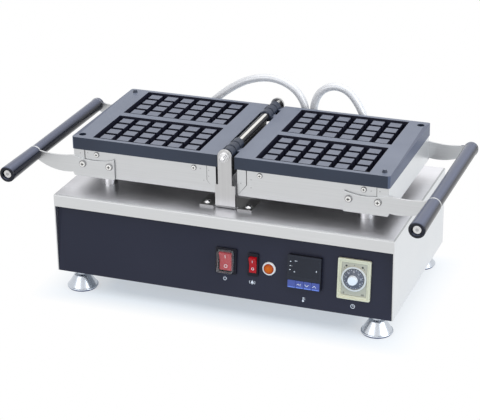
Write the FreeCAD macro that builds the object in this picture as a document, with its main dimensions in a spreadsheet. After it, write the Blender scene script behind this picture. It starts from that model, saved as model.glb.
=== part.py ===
"""Waffle baker with two peg plates that fold open flat about a central shaft. Millimetres, +Z up.

The origin is the bottom centre of the machine's box: X runs to the right, Y away from the operator.
"""
import FreeCAD, Part
import math
import operator
import os
import types
import Sketcher

SIZES = {
    # Case
    "case_width": 495.4,
    "case_depth": 269.6,
    "case_height": 117.6,
    "case_gauge": 1.5,
    "case_bend": 2.5,
    "lip_height": 18.4,
    "rear_flange": 14,
    "panel_gauge": 1.5,
    "panel_lean": 12.7,
    "panel_return": 12,
    "seat_gap": 0.3,
    "vent_width": 4,
    "vent_height": 34,
    "vent_pitch": 9,
    "vent_row_start": 60,
    "case_screw_radius": 2,
    "case_screw_head": 3.8,
    "case_screw_head_height": 2.2,
    "case_screw_length": 7,
    # Feet
    "foot_height": 31,
    "foot_inset_x": 27.5,
    "foot_inset_y": 22,
    "foot_brim": 22.4,
    "foot_brim_edge": 1.5,
    "foot_shoulder": 11.5,
    "foot_shoulder_height": 19.5,
    "foot_neck": 7.5,
    "sole_radius": 20.6,
    "sole_height": 2.6,
    "sole_inset": 1.2,
    "stem_radius": 5,
    "stem_length": 22,
    "stem_boss": 9,
    "stem_boss_height": 10,
    # Hinge
    "hinge_rise": 77,
    "shaft_radius": 6,
    "running_clearance": 0.05,
    "hole_clearance": 0.2,
    "shaft_end_radius": 3,
    "bracket_gauge": 3,
    "bracket_gap": 1.5,
    "bracket_bend": 3,
    "bracket_head_radius": 10,
    "bracket_foot_width": 29,
    "bracket_step": 35.5,
    "bracket_ear": 38,
    "bracket_depth": 38,
    "bolt_radius": 3,
    "bolt_head": 5,
    "bolt_head_height": 3.2,
    "bolt_across": 30,
    "bolt_front_inset": 11,
    "nut_circle": 5.8,
    "nut_height": 5,
    "cap_nut_circle": 6.4,
    "cap_nut_height": 5,
    "cap_dome": 3.4,
    "cap_stem": 2.8,
    "washer_radius": 7,
    "washer_height": 1.4,
    # Baking plates
    "plate_offset": 2.35,
    "plate_gap": 12.5,
    "plate_length": 218.1,
    "plate_depth": 210.5,
    "plate_rim": 17.7,
    "plate_corner": 4,
    "face_drop": 0.3,
    "mould_start": 28,
    "mould_length": 160.3,
    "mould_width": 92.5,
    "mould_rib": 12.5,
    "mould_depth": 13,
    "mould_flare": 1.2,
    "peg_length": 17,
    "peg_width": 15.5,
    "peg_pitch_x": 25.4,
    "peg_pitch_y": 21.8,
    "peg_drop": 1.7,
    "peg_flare": 0.9,
    "knuckle_radius": 8.2,
    "knuckle_chamfer": 0.8,
    "knuckle_web": 6.5,
    "knuckle_length": 13.4,
    "knuckle_gap": 2.3,
    "knuckle_inset": 5.9,
    "locator_inset_x": 10.9,
    "locator_inset_y": 13.5,
    "locator_radius": 3.6,
    "locator_height": 4,
    "locator_flare": 1.2,
    "socket_clearance": 1.6,
    # Housings
    "housing_gap": 15.6,
    "housing_end_inset": 1.6,
    "housing_inset": 3,
    "housing_height": 40.5,
    "housing_gauge": 0.8,
    "housing_bend": 2,
    "flap_inner": 12.9,
    "flap_outer": 16.1,
    "flap_height": 22.5,
    "lug_width": 14,
    "lug_depth": 9,
    "lug_height": 12,
    "housing_screw_inner": 48,
    "housing_screw_outer": 194.5,
    "housing_screw_drop": 6.3,
    "housing_screw_radius": 1.8,
    "housing_screw_head": 4,
    "housing_screw_head_height": 2,
    "housing_screw_length": 7,
    "heater_radius": 4,
    "heater_start": 48,
    "heater_near": 66,
    "heater_far": 182,
    "heater_pitch": 46,
    "insulation_margin": 14,
    "post_radius": 11.3,
    "post_round": 1.5,
    "post_cap": 6,
    "post_groove": 1.2,
    "post_x": 190,
    "post_spread": 144,
    "post_stud": 3,
    "post_stud_length": 8,
    # Handles
    "arm_gauge": 2.5,
    "arm_root": 167,
    "arm_root_top": 28.1,
    "arm_crest": 230,
    "arm_crest_top": 27.6,
    "arm_crest_low": 53,
    "arm_root_sweep": 98,
    "arm_tip_sweep": 142,
    "arm_belly_sweep": 76,
    "arm_eye": 10.4,
    "arm_edge": 0.6,
    "arm_screw_inner": 174.5,
    "arm_screw_outer": 215,
    "arm_screw_drop": 38.9,
    "arm_screw_radius": 2.5,
    "arm_screw_head": 5.2,
    "arm_screw_head_height": 2.8,
    "arm_screw_length": 9,
    "handle_reach": 290.2,
    "handle_drop": 32.7,
    "grip_radius": 9.8,
    "front_grip_length": 84.8,
    "front_grip_start": 10.3,
    "front_grip_end": 11.4,
    "grip_round": 2.5,
    "grip_recess": 7,
    "grip_recess_depth": 7,
    "cap_length": 5,
    "handle_rod_radius": 4,
    "handle_nut_radius": 5.5,
    "handle_nut_height": 4,
    # Conduits
    "conduit_diameter": 11.4,
    "conduit_plane": 124.5,
    "left_conduit_x": 35,
    "right_conduit_x": 56,
    "gland_height": 16.4,
    "gland_circle": 9.6,
    "gland_nut_height": 6,
    "gland_radius": 7.8,
    "gland_spigot": 6,
    "gland_spigot_length": 5,
    "elbow_x": 139,
    "elbow_drop": 38.6,
    "elbow_reach": 18,
    "left_elbow_angle": 40,
    "right_elbow_angle": 112,
    "mains_x": -170,
    "mains_height": 40,
    "mains_bore": 4.5,
    "mains_length": 20,
    "mains_circle": 11,
    "mains_nut_height": 7,
    "mains_radius": 9,
    # Control panel
    "control_height": 51.8,
    "power_x": 9.2,
    "power_bezel_width": 30.4,
    "power_bezel_height": 37,
    "power_rocker_width": 18,
    "power_rocker_swing": 13.6,
    "alarm_x": 48.5,
    "alarm_bezel_width": 14.8,
    "alarm_bezel_height": 33,
    "alarm_rocker_width": 10.4,
    "alarm_rocker_swing": 11.6,
    "bezel_proud": 3,
    "bezel_corner": 2,
    "rocker_tilt": 10,
    "rocker_front": 4.5,
    "rocker_back": 4,
    "rocker_dip": 2.2,
    "rocker_pivot": 1.2,
    "switch_depth": 24,
    "switch_wall": 2,
    "cover_wall": 0.8,
    "cover_depth": 7,
    "lamp_x": 71.2,
    "lamp_drop": 2.9,
    "lamp_ring": 9.5,
    "lamp_ring_proud": 2.6,
    "lamp_dome": 7.1,
    "lamp_dome_proud": 4,
    "lamp_barrel": 6.5,
    "lamp_depth": 22,
    "controller_x": 122.9,
    "controller_side": 47.4,
    "controller_corner": 0.8,
    "controller_body": 44.6,
    "controller_proud": 6,
    "controller_depth": 60,
    "window_width": 42,
    "window_height": 27,
    "window_margin": 3,
    "window_gauge": 1.2,
    "key_width": 11.1,
    "key_height": 10.8,
    "key_pitch": 11.4,
    "key_margin": 0.9,
    "key_proud": 1,
    "key_depth": 2.4,
    "key_travel": 0.8,
    "key_clearance": 0.15,
    "timer_x": 192.2,
    "timer_width": 46,
    "timer_height": 57.6,
    "timer_face_width": 35,
    "timer_face_height": 46,
    "timer_proud": 4,
    "timer_rim": 2.6,
    "timer_ledge": 1,
    "timer_face_proud": 2.4,
    "timer_depth": 52,
    "timer_corner": 2,
    "dial_rise": 1.2,
    "dial_ring": 17.4,
    "dial_ring_width": 2.4,
    "dial_ring_proud": 2,
    "spindle_radius": 3,
    "spindle_length": 8,
    "knob_skirt": 14.2,
    "knob_skirt_height": 3,
    "knob_hub": 6.8,
    "knob_cap": 6,
    "knob_height": 10.5,
    # Parts inside the case
    "relay_width": 46,
    "relay_depth": 76,
    "relay_height": 72,
    "relay_x": -120,
    "terminal_width": 72,
    "terminal_depth": 24,
    "terminal_height": 22,
    "terminal_x": 0,
    "terminal_y": 84,
    "buzzer_radius": 15,
    "buzzer_height": 18,
    "buzzer_x": 60,
    "buzzer_y": 30,
}
PEG_COLUMNS = 6
PEG_ROWS = 4
VENTS_IN_A_ROW = 11
HEATER_RUNS = 4
KEYS = ("set", "shift", "down", "up")
HEXAGON = 6
QUARTER_TURN = 90
FULL_TURN = 360
# Heights of the rear screws, as shares of the case's height
REAR_SCREW_SHARES = (0.15, 0.5, 0.85)
# Directions, seen from the eye's middle, where the arm's outline joins, turns round and leaves its eye
EYE_ANGLES = (240, 330, 60, 152)
# Share of the shorter run beside a bend of a conduit that the bend takes up
BEND_SHARE = 0.45

# Routes of the two conduits, X and Z, from the housing elbow to the gland on the case
LEFT_ROUTE = (
    (-125.2, 198.6), (-106.8, 214.0), (-83.0, 235.0), (-50.0, 255.0), (-12.0, 262.0),
    (20.0, 250.0), (37.0, 228.0), (40.0, 202.0), (35.0, 183.0), (35.0, 165.0),
)
RIGHT_ROUTE = (
    (132.24, 203.74), (125.16, 221.26), (116.0, 238.0), (104.4, 251.8), (89.7, 258.0), (73.8, 256.4),
    (60.7, 247.2), (52.7, 232.2), (50.2, 214.4), (52.3, 197.5), (56.0, 181.0), (56.0, 165.0),
)

V = FreeCAD.Vector
OPERATIONS = {"+": operator.add, "-": operator.sub, "*": operator.mul, "/": operator.truediv}
# Turns that take the Z axis to the axis named
TURNS = {
    "+X": FreeCAD.Rotation(V(0, 1, 0), 90),
    "+Y": FreeCAD.Rotation(V(1, 0, 0), -90),
    "-Y": FreeCAD.Rotation(V(1, 0, 0), 90),
    "+Z": FreeCAD.Rotation(),
    "-Z": FreeCAD.Rotation(V(1, 0, 0), 180),
}
HALF_TURN = FreeCAD.Rotation(V(0, 0, 1), 180)


class Size:
    """A length together with the sheet expression that gives it."""

    def __init__(self, text, value):
        self.text = text
        self.value = value

    def __add__(self, other):
        return joined(self, "+", other)

    def __radd__(self, other):
        return joined(other, "+", self)

    def __sub__(self, other):
        return joined(self, "-", other)

    def __rsub__(self, other):
        return joined(other, "-", self)

    def __mul__(self, other):
        return joined(self, "*", other)

    def __rmul__(self, other):
        return joined(other, "*", self)

    def __truediv__(self, other):
        return joined(self, "/", other)

    def __neg__(self):
        return joined(-1, "*", self)


def as_size(amount):
    return amount if isinstance(amount, Size) else Size(f"({amount:.9g})", float(amount))


def joined(left, sign, right):
    left, right = as_size(left), as_size(right)
    return Size(f"({left.text} {sign} {right.text})", OPERATIONS[sign](left.value, right.value))


def root(square):
    return Size(f"sqrt({square.text})", math.sqrt(square.value))


def slope(rise, run):
    """The angle, in degrees, of a wall that leans by rise over run."""
    ratio = rise / run
    return Size(f"atan({ratio.text})", math.degrees(math.atan(ratio.value)))


def degrees(amount):
    amount = as_size(amount)
    return Size(f"({amount.text} * 1 deg)", amount.value)


doc = FreeCAD.newDocument("WaffleBaker")
sheet = doc.addObject("Spreadsheet::Sheet", "Sizes")
for row, (alias, amount) in enumerate(SIZES.items(), start=1):
    sheet.set(f"A{row}", alias)
    sheet.set(f"B{row}", str(amount))
    sheet.setAlias(f"B{row}", alias)
doc.recompute()
s = types.SimpleNamespace(**{alias: Size(f"Sizes.{alias}", sheet.get(alias)) for alias in SIZES})
nodes = {}


# Placing and binding

def bind(obj, path, amount):
    obj.setExpression(path, as_size(amount).text)


def place(obj, x=0, y=0, z=0, turn=TURNS["+Z"]):
    """Put an object at a point, with each coordinate tied to the sheet."""
    spot = [as_size(amount) for amount in (x, y, z)]
    obj.Placement = FreeCAD.Placement(V(*(amount.value for amount in spot)), turn)
    for axis, amount in zip("xyz", spot):
        bind(obj, f"Placement.Base.{axis}", amount)
    return obj


def node(label, obj, x=0, y=0, z=0, turn=TURNS["+Z"]):
    """Name an object as one piece of the machine, and put it in its place."""
    obj.Label = label
    nodes[label] = place(obj, x, y, z, turn)
    return obj


def group(*shapes):
    compound = doc.addObject("Part::Compound", "Group")
    compound.Links = list(shapes)
    return compound


def copy(obj, x=0, y=0, z=0, turn=TURNS["+Z"]):
    link = doc.addObject("App::Link", "Copy")
    link.LinkedObject = obj
    link.LinkTransform = False
    return place(link, x, y, z, turn)


# Primitives and booleans

def block(x, y, z):
    box = doc.addObject("Part::Box", "Block")
    for name, (low, high) in zip(("Length", "Width", "Height"), (x, y, z)):
        bind(box, name, high - low)
    return place(box, x[0], y[0], z[0])


def rod(radius, length, x=0, y=0, z=0, turn=TURNS["+Z"]):
    cylinder = doc.addObject("Part::Cylinder", "Rod")
    bind(cylinder, "Radius", radius)
    bind(cylinder, "Height", length)
    return place(cylinder, x, y, z, turn)


def hexagon(circle, height, x=0, y=0, z=0, turn=TURNS["+Z"]):
    prism = doc.addObject("Part::Prism", "Hexagon")
    prism.Polygon = HEXAGON
    bind(prism, "Circumradius", circle)
    bind(prism, "Height", height)
    return place(prism, x, y, z, turn)


def ball(radius, x=0, y=0, z=0):
    sphere = doc.addObject("Part::Sphere", "Ball")
    bind(sphere, "Radius", radius)
    return place(sphere, x, y, z)


def fuse(*shapes):
    fused = doc.addObject("Part::MultiFuse", "Fused")
    fused.Shapes = list(shapes)
    return fused


def cut(base, *tools):
    result = doc.addObject("Part::Cut", "Cut")
    result.Base = base
    result.Tool = tools[0] if len(tools) == 1 else fuse(*tools)
    return result


# Sketched outlines: a point is (x, y), or (x, y, radius) where an arc arrives at it, and a
# positive radius turns to the left

def rectangle(x, y, corner=None):
    (left, right), (low, high) = x, y
    if corner is None:
        return [(left, low), (right, low), (right, high), (left, high)]
    return [
        (left + corner, low, corner), (right - corner, low), (right, low + corner, corner),
        (right, high - corner), (right - corner, high, corner), (left + corner, high),
        (left, high - corner, corner), (left, low + corner),
    ]


def circle(x, y, radius):
    return {"x": x, "y": y, "radius": radius}


def on_circle(x, y, radius, degrees):
    angle = math.radians(degrees)
    return x + radius * math.cos(angle), y + radius * math.sin(angle)


def arc_between(start, end, radius):
    """The smaller arc from start to end, and whether the sketch holds it the other way round."""
    chord = end - start
    middle = (start + end) / 2
    height = math.sqrt(max(radius ** 2 - chord.Length ** 2 / 4, 0))
    left = V(-chord.y, chord.x, 0).normalize()
    centre = middle + left * math.copysign(height, radius)
    first, last = (start, end) if radius > 0 else (end, start)
    turn = [math.atan2(point.y - centre.y, point.x - centre.x) for point in (first, last)]
    ring = Part.Circle(centre, V(0, 0, 1), abs(radius))
    return Part.ArcOfCircle(ring, *turn), radius < 0


def fix_point(sketch, rules, geometry, position, x, y):
    for kind, amount in (("DistanceX", x), ("DistanceY", y)):
        amount = as_size(amount)
        if amount.value == 0:
            axis = -2 if kind == "DistanceX" else -1
            rules.append((Sketcher.Constraint("PointOnObject", geometry, position, axis), None))
        else:
            rule = Sketcher.Constraint(kind, -1, 1, geometry, position, amount.value)
            rules.append((rule, amount))


def add_rules(sketch, rules):
    first = sketch.ConstraintCount
    sketch.addConstraint([rule for rule, amount in rules])
    for index, (rule, amount) in enumerate(rules, start=first):
        if amount is not None:
            bind(sketch, f"Constraints[{index}]", amount)


def draw(sketch, outline, closed=True):
    rules = []
    if isinstance(outline, dict):
        x, y, radius = (as_size(outline[key]) for key in ("x", "y", "radius"))
        ring = sketch.addGeometry(Part.Circle(V(x.value, y.value, 0), V(0, 0, 1), radius.value))
        fix_point(sketch, rules, ring, 3, x, y)
        rules.append((Sketcher.Constraint("Radius", ring, radius.value), radius))
        add_rules(sketch, rules)
        return
    points = [V(as_size(point[0]).value, as_size(point[1]).value, 0) for point in outline]
    count = len(outline) if closed else len(outline) - 1
    ends = []
    for index in range(count):
        following = (index + 1) % len(outline)
        arrival = outline[following]
        if len(arrival) == 3:
            radius = as_size(arrival[2])
            edge, backwards = arc_between(points[index], points[following], radius.value)
            geometry = sketch.addGeometry(edge)
            size = radius if radius.value > 0 else -radius
            rules.append((Sketcher.Constraint("Radius", geometry, size.value), size))
        else:
            backwards = False
            geometry = sketch.addGeometry(Part.LineSegment(points[index], points[following]))
        ends.append((geometry, (2, 1) if backwards else (1, 2)))
    for index, (geometry, (start, end)) in enumerate(ends):
        fix_point(sketch, rules, geometry, start, *outline[index][:2])
        if closed or index + 1 < count:
            following, (meeting, _) = ends[(index + 1) % count]
            rules.append((Sketcher.Constraint("Coincident", geometry, end, following, meeting), None))
        else:
            fix_point(sketch, rules, geometry, end, *outline[-1][:2])
    add_rules(sketch, rules)


# Bodies made of sketched features

PLANES = {"X": "YZ_Plane", "Y": "XZ_Plane", "Z": "XY_Plane"}


def new_body():
    return doc.addObject("PartDesign::Body", "Body")


def sketch_on(body, axis, level, outlines, closed=True):
    """A sketch square to an axis of the body, at a level along it."""
    sketch = body.newObject("Sketcher::SketchObject", "Sketch")
    plane = [feature for feature in body.Origin.OriginFeatures if feature.Role == PLANES[axis]]
    sketch.AttachmentSupport = [(plane[0], "")]
    sketch.MapMode = "FlatFace"
    bind(sketch, "AttachmentOffset.Base.z", -level if axis == "Y" else level)
    for outline in outlines:
        draw(sketch, outline, closed)
    return sketch


def feature(body, kind, sketch, length, taper):
    made = body.newObject(f"PartDesign::{kind}", kind)
    made.Profile = sketch
    bind(made, "Length", length)
    if taper is not None:
        bind(made, "TaperAngle", taper)
    doc.recompute()
    return made


def pad(body, axis, low, high, *outlines, taper=None):
    """Add the outlines from low to high along an axis. A taper works from the sketched end."""
    level = high if axis == "Y" else low
    return feature(body, "Pad", sketch_on(body, axis, as_size(level), outlines), high - low, taper)


def pocket(body, axis, low, high, *outlines, taper=None):
    """Cut the outlines from low to high along an axis, and make sure that something was cut."""
    level = low if axis == "Y" else high
    before = body.Shape.Volume
    made = feature(body, "Pocket", sketch_on(body, axis, as_size(level), outlines), high - low, taper)
    if not body.Shape.Volume < before:
        raise RuntimeError(f"{made.Name} cuts nothing")
    return made


def row_of(body, made, spacing, count):
    """Repeat a feature along the first axis of its own sketch."""
    pattern = body.newObject("PartDesign::LinearPattern", "Row")
    pattern.Originals = [made]
    pattern.Direction = (made.Profile[0], ["H_Axis"])
    bind(pattern, "Length", spacing * (count - 1))
    pattern.Occurrences = count
    body.Tip = pattern
    doc.recompute()
    return pattern


def round_edges(body, radius, wanted):
    """Round the edges of the body's last feature that the test picks."""
    base = body.Tip
    edges = [f"Edge{index}" for index, edge in enumerate(base.Shape.Edges, start=1) if wanted(edge)]
    fillet = body.newObject("PartDesign::Fillet", "Fillet")
    fillet.Base = (base, edges)
    bind(fillet, "Radius", radius)
    doc.recompute()
    return fillet


def at_height(level):
    """A test for edges that lie level at a height."""
    def wanted(edge):
        box = edge.BoundBox
        return abs(box.ZMin - level.value) < 1e-6 and abs(box.ZMax - level.value) < 1e-6
    return wanted


def turned(outline):
    """A round piece, from its outline in radius and height, about the Z axis."""
    body = new_body()
    made = body.newObject("PartDesign::Revolution", "Revolution")
    made.Profile = sketch_on(body, "Y", as_size(0), [outline])
    made.ReferenceAxis = (made.Profile[0], ["V_Axis"])
    made.Angle = 360
    doc.recompute()
    return body


def screw(radius, length, head, head_height):
    """A round-headed screw: the head stands on Z = 0, the shank goes down."""
    round_radius = (head * head + head_height * head_height) / (head_height * 2)
    return turned([(0, -length), (radius, -length), (radius, 0), (head, 0), (0, head_height, round_radius)])


# Levels and places that several pieces share

case_bottom = s.foot_height
case_top = s.foot_height + s.case_height
half_width = s.case_width / 2
half_depth = s.case_depth / 2
panel_half_width = half_width - s.case_gauge - s.seat_gap
panel_top = case_top - s.case_gauge - s.seat_gap
# The control panel leans back from its foot, which is flush with the front of the case
panel_foot = -half_depth
panel_rise = panel_top - case_bottom
panel_length = root(panel_rise * panel_rise + s.panel_lean * s.panel_lean)
lean_angle = slope(s.panel_lean, panel_rise)
lean_cos = panel_rise / panel_length
lean_sin = s.panel_lean / panel_length
rear_face = half_depth - s.case_gauge
floor_low = case_bottom + s.panel_gauge
floor_top = floor_low + s.panel_gauge
hinge_height = case_top + s.hinge_rise
housing_side = s.plate_depth / 2 - s.housing_inset
flap_face = housing_side + s.housing_gauge
arm_face = flap_face + s.arm_gauge
front_reach = arm_face + s.front_grip_length - s.plate_offset
rear_reach = half_depth + s.mains_length
# The case stands so far back that the machine's box is centred on the origin
case_y = (front_reach - rear_reach) / 2
plate_y = case_y + s.plate_offset
bracket_back = s.plate_depth / 2 + s.bracket_gap
bracket_face = bracket_back + s.bracket_gauge
bracket_bolts_at = [
    (across * s.bolt_across, end * (bracket_face - s.bolt_front_inset) + s.plate_offset)
    for end in (-1, 1) for across in (-1, 1)
]
posts_at = [
    (side * s.post_x, end * s.post_spread / 2 + s.plate_offset) for side in (-1, 1) for end in (-1, 1)
]
conduits_at = {"left": s.left_conduit_x, "right": s.right_conduit_x}
foot_x = half_width - s.foot_inset_x
foot_y = half_depth - s.foot_inset_y
rear_screws_at = [
    (side * (half_width - s.rear_flange / 2), case_bottom + s.case_height * share)
    for side in (-1, 1) for share in REAR_SCREW_SHARES
]


# Case

def base_shell():
    body = new_body()
    inner_x = half_width - s.case_gauge
    inner_y = half_depth - s.case_gauge
    pad(body, "Z", case_bottom, case_top,
        rectangle((-half_width, half_width), (-half_depth, half_depth)))
    round_edges(body, s.case_bend, at_height(case_top))
    pocket(body, "Z", case_bottom, case_top - s.case_gauge,
           rectangle((-inner_x, inner_x), (-inner_y, inner_y)))
    pocket(body, "Y", -half_depth, -inner_y,
           rectangle((-inner_x, inner_x), (case_bottom, case_top - s.lip_height)))
    rear_x = half_width - s.rear_flange
    pocket(body, "Y", rear_face, half_depth,
           rectangle((-rear_x, rear_x), (case_bottom, case_top - s.rear_flange)))
    holes = [circle(x, y, s.bolt_radius + s.hole_clearance) for x, y in bracket_bolts_at]
    holes += [circle(x, y, s.post_stud + s.hole_clearance) for x, y in posts_at]
    holes += [circle(x, s.conduit_plane, s.gland_spigot + s.hole_clearance) for x in conduits_at.values()]
    pocket(body, "Z", case_top - s.case_gauge, case_top, *holes)
    screw_hole = s.case_screw_radius + s.hole_clearance
    pocket(body, "Y", rear_face, half_depth, *[circle(x, z, screw_hole) for x, z in rear_screws_at])
    node("base_shell", body, y=case_y)


def on_panel(label, obj, x=0, depth=0, height=0, angle=FULL_TURN):
    """Name a piece of the leaning panel, and put it so far behind its face and so high above its foot."""
    turn = degrees(angle) - lean_angle
    node(label, obj, x, case_y + panel_foot + depth * lean_cos + height * lean_sin,
         case_bottom + height * lean_cos - depth * lean_sin, FreeCAD.Rotation(V(1, 0, 0), turn.value))
    bind(obj, "Placement.Rotation.Angle", turn)


def around(x, z, width, height, gap=0, corner=None):
    """A rectangle about a middle, grown by a gap on every side."""
    across, up = width / 2 + gap, height / 2 + gap
    return rectangle((x - across, x + across), (z - up, z + up), corner)


def switch_opening(x, width, swing):
    wall = s.switch_wall + s.seat_gap
    return around(x, s.control_height, width + wall * 2, (swing + wall) * 2, wall)


def front_panel():
    """A leaning sheet, cut out for the controls, whose lower edge is folded back level."""
    gauge, fold = s.panel_gauge, s.panel_return
    body = new_body()
    pad(body, "X", -panel_half_width, panel_half_width, [
        (0, 0), (fold * lean_cos, fold * lean_sin),
        (fold * lean_cos - gauge * lean_sin, fold * lean_sin + gauge * lean_cos),
        (gauge, (gauge * lean_sin + gauge) / lean_cos), (gauge, panel_length), (0, panel_length),
    ])
    middle = s.control_height
    openings = [
        switch_opening(s.power_x, s.power_rocker_width, s.power_rocker_swing),
        switch_opening(s.alarm_x, s.alarm_rocker_width, s.alarm_rocker_swing),
        circle(s.lamp_x, middle - s.lamp_drop, s.lamp_barrel + s.hole_clearance),
        around(s.controller_x, middle, s.controller_body, s.controller_body, s.hole_clearance),
        around(s.timer_x, middle, s.timer_face_width, s.timer_face_height, s.hole_clearance),
    ]
    pocket(body, "Y", 0, gauge, *openings)
    on_panel("front_panel", body)


def rear_panel():
    """An upright sheet with vents, whose lower edge is folded inwards."""
    back = rear_face - s.panel_gauge
    fold = rear_face - s.panel_return
    body = new_body()
    pad(body, "X", -panel_half_width, panel_half_width, [
        (rear_face, case_bottom), (fold, case_bottom), (fold, floor_low), (back, floor_low),
        (back, panel_top), (rear_face, panel_top),
    ])
    middle = case_bottom + s.case_height / 2
    for start in (-s.vent_row_start - s.vent_pitch * (VENTS_IN_A_ROW - 1), s.vent_row_start):
        slot = rectangle((start - s.vent_width / 2, start + s.vent_width / 2),
                         (middle - s.vent_height / 2, middle + s.vent_height / 2), s.vent_width / 3)
        row_of(body, pocket(body, "Y", back, rear_face, slot), s.vent_pitch, VENTS_IN_A_ROW)
    holes = [circle(x, z, s.case_screw_radius + s.hole_clearance) for x, z in rear_screws_at]
    mains_hole = s.mains_bore + s.switch_wall + s.hole_clearance
    holes.append(circle(s.mains_x, case_bottom + s.mains_height, mains_hole))
    pocket(body, "Y", back, rear_face, *holes)
    node("rear_panel", body, y=case_y)
    fastener = screw(s.case_screw_radius, s.case_screw_length, s.case_screw_head, s.case_screw_head_height)
    node("case_screws", group(*[copy(fastener, x, half_depth, z, TURNS["+Y"]) for x, z in rear_screws_at]),
         y=case_y)


def bottom_plate():
    body = new_body()
    panel_back = panel_foot + (s.panel_gauge + (floor_top - case_bottom) * lean_sin) / lean_cos
    depth = (panel_back + s.seat_gap, rear_face - s.panel_gauge - s.seat_gap)
    feet = [(across * foot_x, along * foot_y) for across in (-1, 1) for along in (-1, 1)]
    pad(body, "Z", floor_low, floor_top, rectangle((-panel_half_width, panel_half_width), depth))
    pad(body, "Z", floor_top, floor_top + s.stem_boss_height, *[circle(x, y, s.stem_boss) for x, y in feet])
    bore = s.stem_radius + s.running_clearance
    pocket(body, "Z", floor_low, floor_top + s.stem_boss_height, *[circle(x, y, bore) for x, y in feet])
    start = -s.vent_pitch * (VENTS_IN_A_ROW - 1) / 2
    slot = rectangle((start - s.vent_width / 2, start + s.vent_width / 2),
                     (-s.vent_height / 2, s.vent_height / 2), s.vent_width / 3)
    row_of(body, pocket(body, "Z", floor_low, floor_top, slot), s.vent_pitch, VENTS_IN_A_ROW)
    node("bottom_plate", body, y=case_y)


def feet():
    """Levelling feet: a bell with a threaded stem, on a rubber sole."""
    neck_top = floor_low - s.seat_gap
    edge = s.foot_brim_edge
    bell = turned([
        (0, s.sole_height), (s.sole_radius, s.sole_height), (s.sole_radius, s.sole_inset),
        (s.foot_brim - edge, s.sole_inset), (s.foot_brim, s.sole_inset + edge, edge),
        (s.foot_brim - edge, s.sole_inset + edge * 2, edge), (s.foot_shoulder, s.foot_shoulder_height),
        (s.foot_neck, s.foot_shoulder_height + edge), (s.foot_neck, neck_top), (s.stem_radius, neck_top),
        (s.stem_radius, neck_top + s.stem_length), (0, neck_top + s.stem_length),
    ])
    sole = turned([(0, 0), (s.sole_radius, 0), (s.sole_radius, s.sole_height), (0, s.sole_height)])
    for along, place_name in ((-1, "front"), (1, "rear")):
        for across, side in ((-1, "left"), (1, "right")):
            node(f"foot_{place_name}_{side}", group(copy(bell), copy(sole)),
                 across * foot_x, along * foot_y + case_y)


# Hinge

def hinge_brackets():
    """Bent plates that hold the shaft, with ears for the bolts on either side of the upright."""
    half_foot = s.bracket_foot_width / 2
    bend_end = s.bracket_gauge + s.bracket_bend
    head = s.bracket_head_radius
    ear_back = s.bracket_depth
    gauge = s.bracket_gauge
    for end, name, turn in ((-1, "front_hinge_bracket", TURNS["+Z"]), (1, "rear_hinge_bracket", HALF_TURN)):
        body = new_body()
        # The bracket is drawn with its outer face on Y = 0 and its underside on Z = 0
        fold = [
            (bend_end, gauge), (gauge, bend_end, -s.bracket_bend), (gauge, s.bracket_step),
            (0, s.bracket_step), (0, bend_end), (bend_end, 0, bend_end),
        ]
        pad(body, "X", -half_foot, half_foot, fold)
        pad(body, "Z", 0, gauge, [
            (-s.bracket_ear, 0), (-half_foot - gauge, 0), (-half_foot - gauge, bend_end),
            (half_foot + gauge, bend_end), (half_foot + gauge, 0), (s.bracket_ear, 0),
            (s.bracket_ear, ear_back), (-s.bracket_ear, ear_back),
        ])
        pad(body, "Y", 0, gauge, [
            (-head, s.bracket_step), (head, s.bracket_step), (head, s.hinge_rise),
            (0, s.hinge_rise + head, head), (-head, s.hinge_rise, head),
        ])
        pocket(body, "Y", 0, gauge, circle(0, s.hinge_rise, s.shaft_radius + s.running_clearance))
        pocket(body, "Z", 0, gauge, *[
            circle(across * s.bolt_across, s.bolt_front_inset, s.bolt_radius + s.hole_clearance)
            for across in (-1, 1)
        ])
        node(name, body, 0, plate_y + end * bracket_face, case_top, turn)
    fastener = screw(s.bolt_radius, gauge + s.case_gauge + s.nut_height, s.bolt_head, s.bolt_head_height)
    nut = cut(hexagon(s.nut_circle, s.nut_height), rod(s.bolt_radius + s.hole_clearance, s.nut_height))
    pieces = [copy(fastener, x, y, case_top + gauge) for x, y in bracket_bolts_at]
    pieces += [copy(nut, x, y, case_top - s.case_gauge - s.nut_height) for x, y in bracket_bolts_at]
    node("bracket_bolts", group(*pieces), y=case_y)


def hinge_shaft():
    """Shaft through both brackets, with a washer and a domed nut on each end."""
    thread = s.washer_height + s.cap_nut_height
    half = bracket_face
    shaft = turned([
        (0, -half - thread), (s.shaft_end_radius, -half - thread), (s.shaft_end_radius, -half),
        (s.shaft_radius, -half), (s.shaft_radius, half), (s.shaft_end_radius, half),
        (s.shaft_end_radius, half + thread), (0, half + thread),
    ])
    node("hinge_shaft", shaft, 0, plate_y, hinge_height, TURNS["+Y"])
    washer = rod(s.washer_radius, s.washer_height)
    nut = hexagon(s.cap_nut_circle, s.cap_nut_height, z=s.washer_height)
    stem = thread + s.cap_stem
    dome = turned([
        (0, thread), (s.cap_dome, thread), (s.cap_dome, stem), (0, stem + s.cap_dome, s.cap_dome),
    ])
    cap = cut(fuse(washer, nut, dome), rod(s.shaft_end_radius + s.running_clearance, thread))
    ends = [copy(cap, y=-half, turn=TURNS["-Y"]), copy(cap, y=half, turn=TURNS["+Y"])]
    node("shaft_cap_nuts", group(*ends), 0, plate_y, hinge_height)


# Halves

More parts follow.
